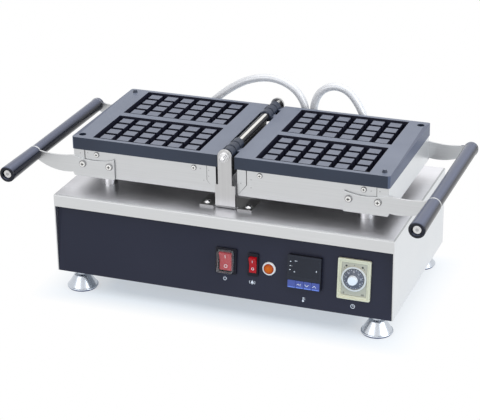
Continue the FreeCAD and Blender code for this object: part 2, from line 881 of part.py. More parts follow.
def baking_plate():
    """A casting with two moulds, their pegs, fixing lugs and a socket, and its hinge knuckles and pin."""
    body = new_body()
    face = -s.face_drop
    under = face - s.plate_rim
    near, far = s.plate_gap, s.plate_gap + s.plate_length
    half = s.plate_depth / 2
    corner = s.plate_corner
    pad(body, "Z", under, face, [
        (near, -half), (far - corner, -half), (far, -half + corner, corner), (far, half - corner),
        (far - corner, half, corner), (near, half),
    ])
    lug_face = housing_side - s.housing_gauge
    pad(body, "Z", under - s.lug_height, under, *[
        rectangle((x - s.lug_width / 2, x + s.lug_width / 2),
                  sorted((end * lug_face, end * (lug_face - s.lug_depth)), key=lambda edge: edge.value))
        for x in (s.housing_screw_inner, s.housing_screw_outer) for end in (-1, 1)
    ])
    thread = lug_face + s.housing_gauge - s.housing_screw_length - s.seat_gap
    for low, high in ((-lug_face, -thread), (thread, lug_face)):
        pocket(body, "Y", low, high, *[
            circle(x, under - s.housing_screw_drop, s.housing_screw_radius + s.running_clearance)
            for x in (s.housing_screw_inner, s.housing_screw_outer)
        ])
    moulds(body, near + s.mould_start, face)
    pin_x = far - s.locator_inset_x
    pin_y = half - s.locator_inset_y
    pocket(body, "Z", face - s.locator_height - s.socket_clearance, face,
           circle(pin_x, pin_y, s.locator_radius + s.socket_clearance))
    pin = turned([
        (0, face), (s.locator_radius, face), (s.locator_radius - s.locator_flare, face + s.locator_height),
        (0, face + s.locator_height),
    ])
    return group(body, copy(pin, pin_x, -pin_y), *knuckles(near, face))


def knuckles(near, face):
    """Knuckles of one half: two at one end, and one at the other that goes between its neighbour's two."""
    radius, length, edge = s.knuckle_radius, s.knuckle_length, s.knuckle_chamfer
    ring = turned([
        (0, 0), (radius - edge, 0), (radius, edge), (radius, length - edge), (radius - edge, length),
        (0, length),
    ])
    web = block((0, near), (0, length), (face - s.knuckle_web, face))
    bore = rod(s.shaft_radius + s.running_clearance, length, turn=TURNS["+Y"])
    knuckle = cut(fuse(copy(ring, turn=TURNS["+Y"]), web), bore)
    outer_end = s.plate_depth / 2 - s.knuckle_inset
    pitch = length + s.knuckle_gap
    starts = (outer_end - length, outer_end - length - pitch * 2, pitch - outer_end)
    return [copy(knuckle, y=start) for start in starts]


def moulds(body, start, face):
    """Two moulds with draft on their walls, and rows of tapered pegs on their floors."""
    floor = face - s.mould_depth
    middle = (s.mould_rib + s.mould_width) / 2
    pocket(body, "Z", floor, face, *[
        rectangle((start, start + s.mould_length),
                  (end * middle - s.mould_width / 2, end * middle + s.mould_width / 2))
        for end in (-1, 1)
    ], taper=-slope(s.mould_flare, s.mould_depth))
    first_x = start + (s.mould_length - s.peg_pitch_x * (PEG_COLUMNS - 1)) / 2
    rows = [s.peg_pitch_y * (peg - (PEG_ROWS - 1) / 2) for peg in range(PEG_ROWS)]
    column = [
        around(first_x, end * middle + row, s.peg_length, s.peg_width, s.peg_flare)
        for end in (-1, 1) for row in rows
    ]
    peg_height = s.mould_depth - s.peg_drop
    pegs = pad(body, "Z", floor, floor + peg_height, *column, taper=-slope(s.peg_flare, peg_height))
    row_of(body, pegs, s.peg_pitch_x, PEG_COLUMNS)


def housing(rear):
    """Sheet pan under a plate, with corner flaps folded round from its ends, and a hole for the leads."""
    body = new_body()
    top = -s.face_drop - s.plate_rim
    bottom = top - s.housing_height
    near = s.housing_gap
    far = s.plate_gap + s.plate_length - s.housing_end_inset
    side = housing_side
    gauge = s.housing_gauge
    pad(body, "Z", bottom, top, rectangle((near, far), (-side, side)))
    round_edges(body, s.housing_bend, at_height(bottom))
    pocket(body, "Z", bottom + gauge, top,
           rectangle((near + gauge, far - gauge), (gauge - side, side - gauge)))
    flap_low = bottom + s.housing_bend
    flap_turn = top - s.flap_height
    flaps = (
        [(near, flap_low), (near + s.flap_inner, flap_turn), (near + s.flap_inner, top), (near, top)],
        [(far, flap_low), (far, top), (far - s.flap_outer, top), (far - s.flap_outer, flap_turn)],
    )
    screws = [circle(x, top - s.housing_screw_drop, s.housing_screw_radius + s.hole_clearance)
              for x in (s.housing_screw_inner, s.housing_screw_outer)]
    screws += [circle(x, -s.arm_screw_drop, s.arm_screw_radius + s.hole_clearance)
               for x in (s.arm_screw_inner, s.arm_screw_outer)]
    for low, high in ((-flap_face, -side), (side, flap_face)):
        pad(body, "Y", low, high, *flaps)
    for low, high in ((-flap_face, gauge - side), (side - gauge, flap_face)):
        pocket(body, "Y", low, high, *screws)
    lead = (side - gauge, side) if rear > 0 else (-side, gauge - side)
    pocket(body, "Y", *lead, circle(s.elbow_x, -s.elbow_drop, s.gland_spigot + s.hole_clearance))
    return body


def heater():
    """Tubular heater in three bends under the plate."""
    body = new_body()
    level = -s.face_drop - s.plate_rim - s.seat_gap - s.heater_radius
    bend = s.heater_pitch / 2
    rows = [s.heater_pitch * (run - (HEATER_RUNS - 1) / 2) for run in range(HEATER_RUNS)]
    path = [
        (s.heater_start, rows[0]), (s.heater_far, rows[0]), (s.heater_far + bend, rows[0] + bend, bend),
        (s.heater_far, rows[1], bend), (s.heater_near, rows[1]),
        (s.heater_near - bend, rows[1] + bend, -bend), (s.heater_near, rows[2], -bend),
        (s.heater_far, rows[2]), (s.heater_far + bend, rows[2] + bend, bend), (s.heater_far, rows[3], bend),
        (s.heater_start, rows[3]),
    ]
    pipe = body.newObject("PartDesign::AdditivePipe", "Heater")
    pipe.Profile = sketch_on(body, "X", s.heater_start, [circle(rows[0], level, s.heater_radius)])
    pipe.Spine = (sketch_on(body, "Z", level, [path], closed=False), [])
    doc.recompute()
    return body


def insulation():
    gauge = s.housing_gauge
    bottom = -s.face_drop - s.plate_rim - s.housing_height + gauge
    top = -s.face_drop - s.plate_rim - s.heater_radius * 2 - s.seat_gap * 2
    near = s.housing_gap + gauge + s.housing_bend
    far = s.plate_gap + s.plate_length - s.housing_end_inset - gauge - s.housing_bend
    half = housing_side - s.insulation_margin
    return block((near, far), (-half, half), (bottom, top))


def handle_arm():
    """One wavy arm plate, drawn from Y = 0 outwards, with an eye for the handle rod."""
    body = new_body()
    x, z = s.handle_reach, -s.handle_drop
    low = -s.face_drop - s.plate_rim - s.housing_height + s.arm_edge
    housing_end = s.plate_gap + s.plate_length - s.housing_end_inset
    eye = [on_circle(x, z, s.arm_eye, degrees) for degrees in EYE_ANGLES]
    outline = [
        (s.arm_root, low), (housing_end - s.arm_edge, low), (s.arm_crest + s.arm_edge, -s.arm_crest_low),
        (*eye[0], s.arm_belly_sweep), (*eye[1], s.arm_eye), (*eye[2], s.arm_eye), (*eye[3], s.arm_eye),
        (s.arm_crest, -s.arm_crest_top, -s.arm_tip_sweep),
        (s.arm_root, -s.arm_root_top, -s.arm_root_sweep),
    ]
    pad(body, "Y", 0, s.arm_gauge, outline)
    holes = [circle(x, z, s.handle_rod_radius + s.hole_clearance)]
    holes += [circle(hole, -s.arm_screw_drop, s.arm_screw_radius + s.hole_clearance)
              for hole in (s.arm_screw_inner, s.arm_screw_outer)]
    pocket(body, "Y", 0, s.arm_gauge, *holes)
    return body


def half(name, side):
    """Everything that swings with one plate. The left half's plate is the right one turned half round."""
    turn = TURNS["+Z"] if side > 0 else HALF_TURN
    spot = (0, plate_y, hinge_height)
    node(f"{name}_plate", baking_plate(), *spot, turn)
    node(f"{name}_housing", housing(side), *spot, turn)
    node(f"{name}_heater", heater(), *spot, turn)
    node(f"{name}_insulation", group(insulation()), *spot, turn)
    arm = handle_arm()
    node(f"{name}_arms", group(copy(arm, y=-arm_face), copy(arm, y=flap_face)), *spot, turn)
    arm_screw = screw(s.arm_screw_radius, s.arm_screw_length, s.arm_screw_head, s.arm_screw_head_height)
    small = screw(s.housing_screw_radius, s.housing_screw_length, s.housing_screw_head,
                  s.housing_screw_head_height)
    drop = -s.face_drop - s.plate_rim - s.housing_screw_drop
    screws = []
    for end, way in ((-1, "-Y"), (1, "+Y")):
        screws += [copy(arm_screw, x, end * arm_face, -s.arm_screw_drop, TURNS[way])
                   for x in (s.arm_screw_inner, s.arm_screw_outer)]
        screws += [copy(small, x, end * housing_side, drop, TURNS[way])
                   for x in (s.housing_screw_inner, s.housing_screw_outer)]
    node(f"{name}_screws", group(*screws), *spot, turn)
    handle(name, side)
    conduit_elbow(name, side)


def handle(name, side):
    x = side * s.handle_reach
    z = hinge_height - s.handle_drop
    bore = s.handle_rod_radius + s.hole_clearance
    length = flap_face * 2
    grip = s.grip_radius
    long_grip = turned([(bore, 0), (grip, 0), (grip, length), (bore, length)])
    node(f"{name}_long_grip", long_grip, x, plate_y - flap_face, z, TURNS["+Y"])
    front, end = s.front_grip_length, s.front_grip_end
    recess = front - s.grip_recess_depth
    front_grip = turned([
        (bore, 0), (s.front_grip_start, 0), (end, front - s.grip_round),
        (end - s.grip_round, front, s.grip_round), (s.grip_recess, front), (s.grip_recess, recess),
        (bore, recess),
    ])
    node(f"{name}_front_grip", front_grip, x, plate_y - arm_face, z, TURNS["-Y"])
    cap = turned([
        (bore, 0), (grip, 0), (grip, s.cap_length - s.grip_round),
        (grip - s.grip_round, s.cap_length, s.grip_round), (0, s.cap_length),
        (0, s.cap_length - s.grip_round), (bore, s.cap_length - s.grip_round),
    ])
    node(f"{name}_grip_cap", cap, x, plate_y + arm_face, z, TURNS["+Y"])
    rod_low = -arm_face - recess - s.handle_nut_height - s.seat_gap
    rod_high = arm_face + s.cap_length - s.grip_round - s.seat_gap
    bar = rod(s.handle_rod_radius, rod_high - rod_low, y=rod_low, turn=TURNS["+Y"])
    nut_at = -arm_face - recess
    nut = cut(
        rod(s.handle_nut_radius, s.handle_nut_height, y=nut_at, turn=TURNS["-Y"]),
        rod(s.handle_rod_radius + s.running_clearance, s.handle_nut_height, y=nut_at, turn=TURNS["-Y"]),
    )
    node(f"{name}_handle_rod", group(bar, nut), x, plate_y, z)


# Conduits and glands

def conduit_elbow(name, side):
    """Elbow fitting on the rear of a housing, turned towards the way its conduit leaves."""
    angle = {"left": s.left_elbow_angle, "right": s.right_elbow_angle}[name]
    wall = s.plate_offset + housing_side
    barrel = s.conduit_plane - wall
    spigot = rod(s.gland_radius, s.elbow_reach, y=barrel)
    spigot.Placement = FreeCAD.Placement(
        spigot.Placement.Base, FreeCAD.Rotation(V(0, 1, 0), 90 - angle.value))
    bind(spigot, "Placement.Rotation.Angle", 90 - angle)
    parts = [
        rod(s.gland_spigot, s.gland_spigot_length, y=-s.gland_spigot_length, turn=TURNS["+Y"]),
        hexagon(s.gland_circle, s.gland_nut_height, turn=TURNS["+Y"]),
        rod(s.gland_radius, barrel, turn=TURNS["+Y"]),
        ball(s.gland_radius, y=barrel),
        spigot,
    ]
    node(f"{name}_conduit_elbow", fuse(*parts), side * s.elbow_x, case_y + wall, hinge_height - s.elbow_drop)


def glands():
    collar = turned([
        (0, -s.gland_spigot_length), (s.gland_spigot, -s.gland_spigot_length), (s.gland_spigot, 0),
        (s.gland_radius, 0), (s.gland_radius, s.gland_height), (0, s.gland_height),
    ])
    gland = fuse(collar, hexagon(s.gland_circle, s.gland_nut_height))
    node("conduit_glands", group(*[copy(gland, x) for x in conduits_at.values()]),
         0, case_y + s.conduit_plane, case_top)
    inside = s.panel_gauge + s.case_gauge + s.gland_spigot_length
    spigot = rod(s.mains_bore + s.switch_wall, inside, z=-inside)
    nut = hexagon(s.mains_circle, s.mains_nut_height, z=-s.case_gauge)
    bore = rod(s.mains_bore, s.mains_length + inside, z=-inside)
    mains = cut(fuse(spigot, nut, rod(s.mains_radius, s.mains_length)), bore)
    node("mains_gland", mains, s.mains_x, case_y + half_depth, case_bottom + s.mains_height, TURNS["+Y"])


def conduit(name, route):
    """A hose along straight runs joined by tangent arcs, each as large as its two runs allow."""
    radius = sheet.get("conduit_diameter") / 2
    points = [V(x, 0, z) for x, z in route]
    edges, bends, start = [], [], points[0]
    for before, corner, after in zip(points, points[1:], points[2:]):
        back, ahead = (before - corner), (after - corner)
        turn = math.pi - back.getAngle(ahead)
        reach = BEND_SHARE * min(back.Length, ahead.Length)
        bend = reach / math.tan(turn / 2)
        bends.append(round(bend, 1))
        first, last = corner + back.normalize() * reach, corner + ahead.normalize() * reach
        inward = (back + ahead).normalize()
        middle = corner + inward * (bend / math.cos(turn / 2) - bend)
        edges += [Part.LineSegment(start, first).toShape(), Part.Arc(first, middle, last).toShape()]
        start = last
    edges.append(Part.LineSegment(start, points[-1]).toShape())
    path = Part.Wire(edges)
    ring = Part.Wire(Part.makeCircle(radius, points[0], points[1] - points[0]))
    tube = path.makePipeShell([ring], True, False)
    ratio = tube.Volume / (math.pi * radius ** 2 * path.Length)
    print(f"{name}: length {path.Length:.1f}, radii {bends}, volume {ratio:.4f}")
    hose = doc.addObject("Part::Feature", "Conduit")
    hose.Shape = tube
    node(name, hose, 0, case_y + s.conduit_plane)


# Control panel

def rocker_switch(name, x, bezel, rocker_width, swing):
    """A switch body with its bezel, and a rocker whose ends are round about its pivot."""
    wall = s.switch_wall
    gap = s.seat_gap
    front = -s.bezel_proud
    pivot = -s.rocker_pivot
    middle = s.control_height
    width, height = bezel
    body = new_body()
    pad(body, "Y", front, 0, around(x, middle, width, height, corner=s.bezel_corner))
    pad(body, "Y", 0, s.switch_depth,
        around(x, middle, rocker_width + (gap + wall) * 2, (swing + gap + wall) * 2))
    pocket(body, "Y", front, pivot + swing + gap, around(x, middle, rocker_width, swing * 2, gap))
    on_panel(f"{name}_switch_body", body)
    rocker = new_body()
    face, back = s.rocker_front, s.rocker_back
    end = root(swing * swing - face * face)
    tail = root(swing * swing - back * back)
    pad(rocker, "X", -rocker_width / 2, rocker_width / 2, [
        (-face, -end), (0, -swing, swing), (back, -tail, swing), (back, tail), (0, swing, swing),
        (-face, end, swing), (s.rocker_dip - face, 0),
    ])
    on_panel(f"{name}_rocker", rocker, x, pivot, middle, s.rocker_tilt)


def switch_cover():
    """Clear splash cover that stands on the power switch's bezel."""
    front = -s.bezel_proud
    wall = s.cover_wall
    width = s.power_rocker_width + (s.switch_wall + s.seat_gap) * 2
    height = (s.power_rocker_swing + s.switch_wall + s.seat_gap) * 2
    body = new_body()
    pad(body, "Y", front - s.cover_depth, front,
        around(s.power_x, s.control_height, width, height, corner=s.bezel_corner))
    pocket(body, "Y", front - s.cover_depth + wall, front,
           around(s.power_x, s.control_height, width, height, -wall))
    on_panel("power_switch_cover", body)


def pilot_lamp():
    """Lamp with a pale ring and an amber dome, through the panel."""
    spot = (s.lamp_x, 0, s.control_height - s.lamp_drop, QUARTER_TURN)
    ring, dome, barrel = s.lamp_ring, s.lamp_dome, s.lamp_barrel
    proud = s.lamp_ring_proud
    bezel = turned([
        (0, -s.lamp_depth), (barrel, -s.lamp_depth), (barrel, 0), (ring, 0), (ring, proud / 2),
        (dome + s.seat_gap + proud / 2, proud), (dome + s.seat_gap, proud), (dome + s.seat_gap, proud / 2),
        (0, proud / 2),
    ])
    on_panel("pilot_lamp_bezel", bezel, *spot)
    rise = s.lamp_dome_proud
    cap = (dome * dome + rise * rise) / (rise * 2)
    lens = turned([(0, proud / 2), (dome, proud / 2), (dome, proud), (0, proud + rise, cap)])
    on_panel("pilot_lamp_lens", lens, *spot)


def controller():
    """Temperature controller: bezel and body, display window, and four keys that press in."""
    x, side = s.controller_x, s.controller_side
    middle = s.control_height
    front = -s.controller_proud
    body = new_body()
    pad(body, "Y", front, 0, around(x, middle, side, side, corner=s.controller_corner))
    pad(body, "Y", 0, s.controller_depth, around(x, middle, s.controller_body, s.controller_body))
    window_z = middle + side / 2 - s.window_margin - s.window_height / 2
    pocket(body, "Y", front, front + s.window_gauge, around(x, window_z, s.window_width, s.window_height))
    key_z = middle - side / 2 + s.key_margin + s.key_height / 2
    keys_x = [x + s.key_pitch * (place - (len(KEYS) - 1) / 2) for place in range(len(KEYS))]
    key_back = front + s.key_depth
    keys_width = s.key_pitch * (len(KEYS) - 1) + s.key_width
    pocket(body, "Y", front, key_back + s.key_travel + s.seat_gap,
           around(x, key_z, keys_width, s.key_height, s.key_clearance))
    on_panel("controller_case", body)
    window = block((x - s.window_width / 2, x + s.window_width / 2), (front, front + s.window_gauge),
                   (window_z - s.window_height / 2, window_z + s.window_height / 2))
    on_panel("controller_window", group(window))
    for name, key_x in zip(KEYS, keys_x):
        key = new_body()
        pad(key, "Y", -s.key_proud, s.key_depth, around(0, 0, s.key_width, s.key_height, corner=s.key_proud))
        on_panel(f"controller_key_{name}", key, key_x, front, key_z)


def timer():
    """Timer: frame on the panel, body with a grey face and a dial ring, and a knob on its spindle."""
    x, middle = s.timer_x, s.control_height
    dial = middle + s.dial_rise
    front = -s.timer_proud
    face = -s.timer_face_proud
    frame = new_body()
    pad(frame, "Y", front, 0, around(x, middle, s.timer_width, s.timer_height, corner=s.timer_corner))
    pocket(frame, "Y", front, front + s.timer_ledge,
           around(x, middle, s.timer_width, s.timer_height, -s.timer_rim))
    pocket(frame, "Y", front, 0,
           around(x, middle, s.timer_face_width, s.timer_face_height, s.hole_clearance))
    on_panel("timer_frame", frame)
    body = new_body()
    pad(body, "Y", face, s.timer_depth, around(x, middle, s.timer_face_width, s.timer_face_height))
    pad(body, "Y", face - s.dial_ring_proud, face, circle(x, dial, s.dial_ring))
    pocket(body, "Y", face - s.dial_ring_proud, face, circle(x, dial, s.dial_ring - s.dial_ring_width))
    pad(body, "Y", face - s.spindle_length, face, circle(x, dial, s.spindle_radius))
    on_panel("timer_body", body)
    skirt, hub, cap = s.knob_skirt, s.knob_hub, s.knob_cap
    bore = s.spindle_radius + s.running_clearance
    knob = turned([
        (bore, 0), (skirt, 0), (skirt, s.knob_skirt_height / 2),
        (hub + s.knob_skirt_height, s.knob_skirt_height), (hub, s.knob_skirt_height * 2),
        (cap, s.knob_height), (0, s.knob_height), (0, s.spindle_length), (bore, s.spindle_length),
    ])
    on_panel("timer_knob", knob, x, face - s.seat_gap, dial, QUARTER_TURN)


def inside_the_case():
    def on_floor(x, y, width, depth, height):
        return block((x - width / 2, x + width / 2), (y - depth / 2, y + depth / 2),
                     (floor_top, floor_top + height))

    relay = on_floor(s.relay_x, 0, s.relay_width, s.relay_depth, s.relay_height)
    node("heater_relay", group(relay), y=case_y)
    strip = on_floor(s.terminal_x, s.terminal_y, s.terminal_width, s.terminal_depth, s.terminal_height)
    node("terminal_block", group(strip), y=case_y)
    buzzer = rod(s.buzzer_radius, s.buzzer_height)
    node("alarm_buzzer", group(buzzer), s.buzzer_x, case_y + s.buzzer_y, floor_top)


def rest_posts():
    """Posts on the case that carry the opened halves."""
    height = s.hinge_rise - s.face_drop - s.plate_rim - s.housing_height - s.seat_gap
    edge, radius, groove = s.post_round, s.post_radius, s.post_groove
    cap_low = height - s.post_cap
    post = turned([
        (0, -s.post_stud_length), (s.post_stud, -s.post_stud_length), (s.post_stud, 0), (radius, 0),
        (radius, cap_low - groove), (radius - groove, cap_low - groove), (radius - groove, cap_low),
        (radius, cap_low), (radius, height - edge), (radius - edge, height, edge), (0, height),
    ])
    node("rest_posts", group(*[copy(post, x, y) for x, y in posts_at]), 0, case_y, case_top)


base_shell()
front_panel()
rear_panel()
bottom_plate()
feet()
hinge_brackets()
hinge_shaft()
rest_posts()
half("left", -1)
half("right", 1)
glands()
conduit("left_conduit", LEFT_ROUTE)
conduit("right_conduit", RIGHT_ROUTE)
rocker_switch("power", s.power_x, (s.power_bezel_width, s.power_bezel_height), s.power_rocker_width,
              s.power_rocker_swing)
switch_cover()
rocker_switch("alarm", s.alarm_x, (s.alarm_bezel_width, s.alarm_bezel_height), s.alarm_rocker_width,
              s.alarm_rocker_swing)
pilot_lamp()
controller()
timer()
inside_the_case()
doc.recompute()

failed = [obj.Name for obj in doc.Objects if "Invalid" in obj.State or "Error" in obj.State]
failed += [label for label, obj in nodes.items() if obj.Shape.isNull() or not obj.Shape.isValid()]
if failed:
    raise RuntimeError(f"These did not build: {failed}")
os.makedirs("parts", exist_ok=True)
for label, obj in nodes.items():
    obj.Shape.exportStep(f"parts/{label}.step")
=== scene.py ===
"""Looks of the waffle baker: finishes, conduits, screws, marks on the controls, light and camera.

Metres, in the frame of the solids. Sizes in the tables are millimetres.
"""
import math

import bmesh
import bpy
from mathutils import Matrix, Quaternion, Vector
from mathutils.bvhtree import BVHTree


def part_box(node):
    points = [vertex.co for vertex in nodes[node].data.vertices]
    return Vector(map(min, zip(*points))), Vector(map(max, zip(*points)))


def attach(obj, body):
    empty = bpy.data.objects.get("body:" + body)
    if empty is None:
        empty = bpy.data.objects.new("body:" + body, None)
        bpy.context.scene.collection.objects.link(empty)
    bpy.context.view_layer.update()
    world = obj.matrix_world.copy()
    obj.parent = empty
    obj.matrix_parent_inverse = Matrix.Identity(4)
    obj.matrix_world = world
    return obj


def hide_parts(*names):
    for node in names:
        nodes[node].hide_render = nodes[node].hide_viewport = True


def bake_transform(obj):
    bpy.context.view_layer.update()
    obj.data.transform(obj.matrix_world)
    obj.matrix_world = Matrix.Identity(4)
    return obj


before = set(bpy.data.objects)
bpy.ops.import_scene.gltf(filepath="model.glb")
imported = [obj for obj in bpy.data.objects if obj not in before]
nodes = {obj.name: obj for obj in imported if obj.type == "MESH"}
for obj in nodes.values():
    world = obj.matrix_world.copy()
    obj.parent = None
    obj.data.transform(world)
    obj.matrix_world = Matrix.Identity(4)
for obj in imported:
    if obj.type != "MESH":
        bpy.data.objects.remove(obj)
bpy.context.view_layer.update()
scene = bpy.context.scene
MM = 0.001

# Camera of the photograph
CAMERA_PLACE = Vector((0.7764, -2.0760, 1.0801))
CAMERA_TARGET = Vector((-0.0213, 0.0219, 0.0977))
CAMERA_ROLL = math.radians(-0.85)
CAMERA_LENS = 127.4
CAMERA_FAR = 20
SENSOR_WIDTH = 36.0

# Routes of the conduits, X and Z, from the housing elbow to the gland on the case
LEFT_ROUTE = (
    (-125.2, 198.6), (-106.8, 214.0), (-83.0, 235.0), (-50.0, 255.0), (-12.0, 262.0),
    (20.0, 250.0), (37.0, 228.0), (40.0, 202.0), (35.0, 183.0), (35.0, 165.0),
)
RIGHT_ROUTE = (
    (132.24, 203.74), (125.16, 221.26), (116.0, 238.0), (104.4, 251.8), (89.7, 258.0), (73.8, 256.4),
    (60.7, 247.2), (52.7, 232.2), (50.2, 214.4), (52.3, 197.5), (56.0, 181.0), (56.0, 165.0),
)
CONDUIT_RADIUS = 5.7 * MM
CONDUIT_SIDES = 28
ROUTE_STEPS = 16
BRAID_LEAN = math.radians(45)
BRAID_SCALE = 340

SIDES = ("left", "right")
KEYS = ("set", "shift", "down", "up")
FEET = [f"foot_{row}_{side}" for row in ("front", "rear") for side in SIDES]
X_AXIS, Y_AXIS, Z_AXIS = Vector((1, 0, 0)), Vector((0, 1, 0)), Vector((0, 0, 1))

# A face counts as facing a direction, or as square to it, from this share of its normal on
FACING = 0.9
SQUARE = 0.97
SIDEWAYS = 0.5

# Baking plates: level of their faces, their middle, and the region that the moulds take up
FACE_LEVEL = 225.6 * MM
PLATE_MIDDLE = 18.95 * MM
PEG_DROP = 4 * MM
MOULD_FLOOR = 212.0 * MM
MOULD_X = (40.6 * MM, 200.8 * MM)
MOULD_Y = (6.0 * MM, 99.4 * MM)
KNUCKLE_REACH = 11 * MM
END_REACH = 3 * MM

# Regions with a finish of their own: housing walls at the hinge (painted shade), eyes of the arms, feet of
# the front bracket (painted shade), soles of the levelling feet, and the upper part of the bend along the
# case's lip (painted shade)
HINGE_WALL = 17 * MM
EYE_REACH = 16 * MM
BRACKET_FOOT = 5 * MM
SOLE_HEIGHT = 2.4 * MM
BEND_START = 0.35

# The shaft is painted dark, a painted reflection of the dark slot round it, apart from a band of painted
# highlight along its top
SHAFT_TOP = Vector((0.35, 0, 0.94)).normalized()
SHAFT_HIGHLIGHT_BAND = math.cos(math.radians(14))

# The control panel leans back from its foot. Places on it are X and the height up its face.
PANEL_FOOT = Vector((0, -118.2, 31.0)) * MM
PANEL_UP = Vector((0, 12.7, 115.8)).normalized()
PANEL_IN = Vector((0, 115.8, -12.7)).normalized()
PANEL = (PANEL_FOOT, X_AXIS, PANEL_UP, PANEL_IN)
FRONT = (Vector(), X_AXIS, Z_AXIS, Y_AXIS)
DIAL = (192.2, 53.0)
DIAL_PLACE = PANEL_FOOT + (X_AXIS * DIAL[0] + PANEL_UP * DIAL[1]) * MM
HUB_RADIUS = 7.0 * MM
RING_RADII = (14.6 * MM, 17.8 * MM)
RING_RISE = 2.6 * MM
LAMP = (71.2, 48.9)
LAMP_PLACE = PANEL_FOOT + (X_AXIS * LAMP[0] + PANEL_UP * LAMP[1]) * MM
LAMP_REACH = 9 * MM
PRISM_SCALE = 800

# Noise: the middle part of its values, and the scratches of brushed sheet in metres
NOISE_LOW, NOISE_HIGH = 0.3, 0.7
BRUSH_GRAIN = 0.0006
BRUSH_STRETCH = 160
BRUSH_CLOUD = 0.05
BRUSH_DEPTH = 0.0000015


# Shader building blocks

def set_sockets(node, sockets):
    """Set plain values on a node's own sockets, whose names have underscores for spaces here."""
    for socket, value in sockets.items():
        node.inputs[socket.replace("_", " ")].default_value = value


def new_material(name, **sockets):
    """A material with one Principled shader."""
    made = bpy.data.materials.new(name)
    made.use_nodes = True
    shader = made.node_tree.nodes["Principled BSDF"]
    set_sockets(shader, sockets)
    return made, made.node_tree, shader


def add_node(tree, kind, **sockets):
    node = tree.nodes.new(kind)
    set_sockets(node, sockets)
    return node


def feed(tree, node, **sockets):
    """Link outputs to a node's sockets."""
    for socket, source in sockets.items():
        tree.links.new(source, node.inputs[socket.replace("_", " ")])


def calculate(tree, operation, first, second, third=0.5):
    """An operation on two values. The third is a plain number, for the operations that take one."""
    node = add_node(tree, "ShaderNodeMath")
    node.operation = operation
    tree.links.new(first, node.inputs[0])
    tree.links.new(second, node.inputs[1])
    node.inputs[2].default_value = third
    return node.outputs["Value"]


def noise(tree, size, stretch=(1, 1, 1), detail=3.0):
    """Noise in the piece's own space, with grains about one size across, drawn out by stretch."""
    place = add_node(tree, "ShaderNodeTexCoord")
    mapping = add_node(tree, "ShaderNodeMapping", Scale=[1 / (size * amount) for amount in stretch])
    texture = add_node(tree, "ShaderNodeTexNoise", Scale=1.0, Detail=detail)
    feed(tree, mapping, Vector=place.outputs["Object"])
    feed(tree, texture, Vector=mapping.outputs["Vector"])
    return texture.outputs["Fac"]


def spread(tree, factor, low, high):
    """Map the middle of a noise to the range from low to high."""
    ranged = add_node(tree, "ShaderNodeMapRange", From_Min=NOISE_LOW, From_Max=NOISE_HIGH, To_Min=low,
                      To_Max=high)
    feed(tree, ranged, Value=factor)
    return ranged.outputs["Result"]


def tint(tree, factor, dark, light, start=NOISE_LOW, end=NOISE_HIGH):
    """Map a value to the colours from dark to light."""
    ramp = add_node(tree, "ShaderNodeValToRGB")
    for element, position, colour in zip(ramp.color_ramp.elements, (start, end), (dark, light)):
        element.position = position
        element.color = (*colour, 1)
    feed(tree, ramp, Fac=factor)
    return ramp.outputs["Color"]


def add_bump(tree, shader, height, depth):
    bump = add_node(tree, "ShaderNodeBump", Strength=1.0, Distance=depth)
    feed(tree, bump, Height=height)
    feed(tree, shader, Normal=bump.outputs["Normal"])


def surface(name, dark, light, roughness, grain, stretch=(1, 1, 1), depth=0.00002, cloud=0.08, **sockets):
    """A finish whose colour drifts slowly between two tones and whose gloss and bump follow a fine grain."""
    made, tree, shader = new_material(name, **sockets)
    fine = noise(tree, grain, stretch)
    feed(tree, shader, Base_Color=tint(tree, noise(tree, cloud, detail=4.0), dark, light),
         Roughness=spread(tree, fine, *roughness))
    add_bump(tree, shader, fine, depth)
    return made


def brushed(name, dark, light, roughness, along):
    """Brushed sheet, its scratches drawn out along one axis."""
    stretch = [BRUSH_STRETCH if axis == along else 1 for axis in "XYZ"]
    made, tree, shader = new_material(name, Metallic=1.0)
    fine = noise(tree, BRUSH_GRAIN, stretch, detail=4.0)
    feed(tree, shader, Base_Color=tint(tree, fine, dark, light),
         Roughness=spread(tree, noise(tree, BRUSH_CLOUD), *roughness))
    add_bump(tree, shader, fine, BRUSH_DEPTH)
    return made


# Finishes: dark and light tone, range of roughness, then the brushed axis or the size of the grain in metres

case_steel = brushed("case_steel", (0.63, 0.64, 0.65), (0.68, 0.69, 0.70), (0.30, 0.38), "X")
# Lighter copy of the case steel for its top: painted light
lit_top_steel = brushed("lit_top_steel", (0.70, 0.70, 0.73), (0.75, 0.75, 0.78), (0.38, 0.46), "X")
# Lighter copy for the end walls of the case and the housings: painted light
lit_side_steel = brushed("lit_side_steel", (0.72, 0.745, 0.77), (0.77, 0.795, 0.82), (0.32, 0.40), "X")
# Darker, duller copy for the upper part of the lip's bend: painted shade
case_bend = brushed("case_bend", (0.44, 0.45, 0.46), (0.48, 0.49, 0.50), (0.55, 0.62), "X")
housing_steel = brushed("housing_steel", (0.58, 0.59, 0.60), (0.63, 0.64, 0.65), (0.34, 0.42), "X")
bracket_steel = brushed("bracket_steel", (0.51, 0.51, 0.515), (0.56, 0.56, 0.565), (0.30, 0.40), "Z")
galvanised = surface("galvanised", (0.50, 0.51, 0.53), (0.62, 0.63, 0.65), (0.38, 0.52), 0.012, Metallic=1.0)
machined = surface("machined_steel", (0.62, 0.62, 0.63), (0.72, 0.72, 0.73), (0.18, 0.30), 0.0006,
                   Metallic=1.0)
screw_steel = surface("screw_steel", (0.80, 0.80, 0.79), (0.90, 0.90, 0.89), (0.12, 0.20), 0.0006,
                      Metallic=1.0)
# Near-black: painted shade in the screws' cross recesses, and the dark joints along the housings' flaps
recess_dark = surface("recess_dark", (0.030, 0.028, 0.026), (0.050, 0.048, 0.045), (0.40, 0.55), 0.0004)
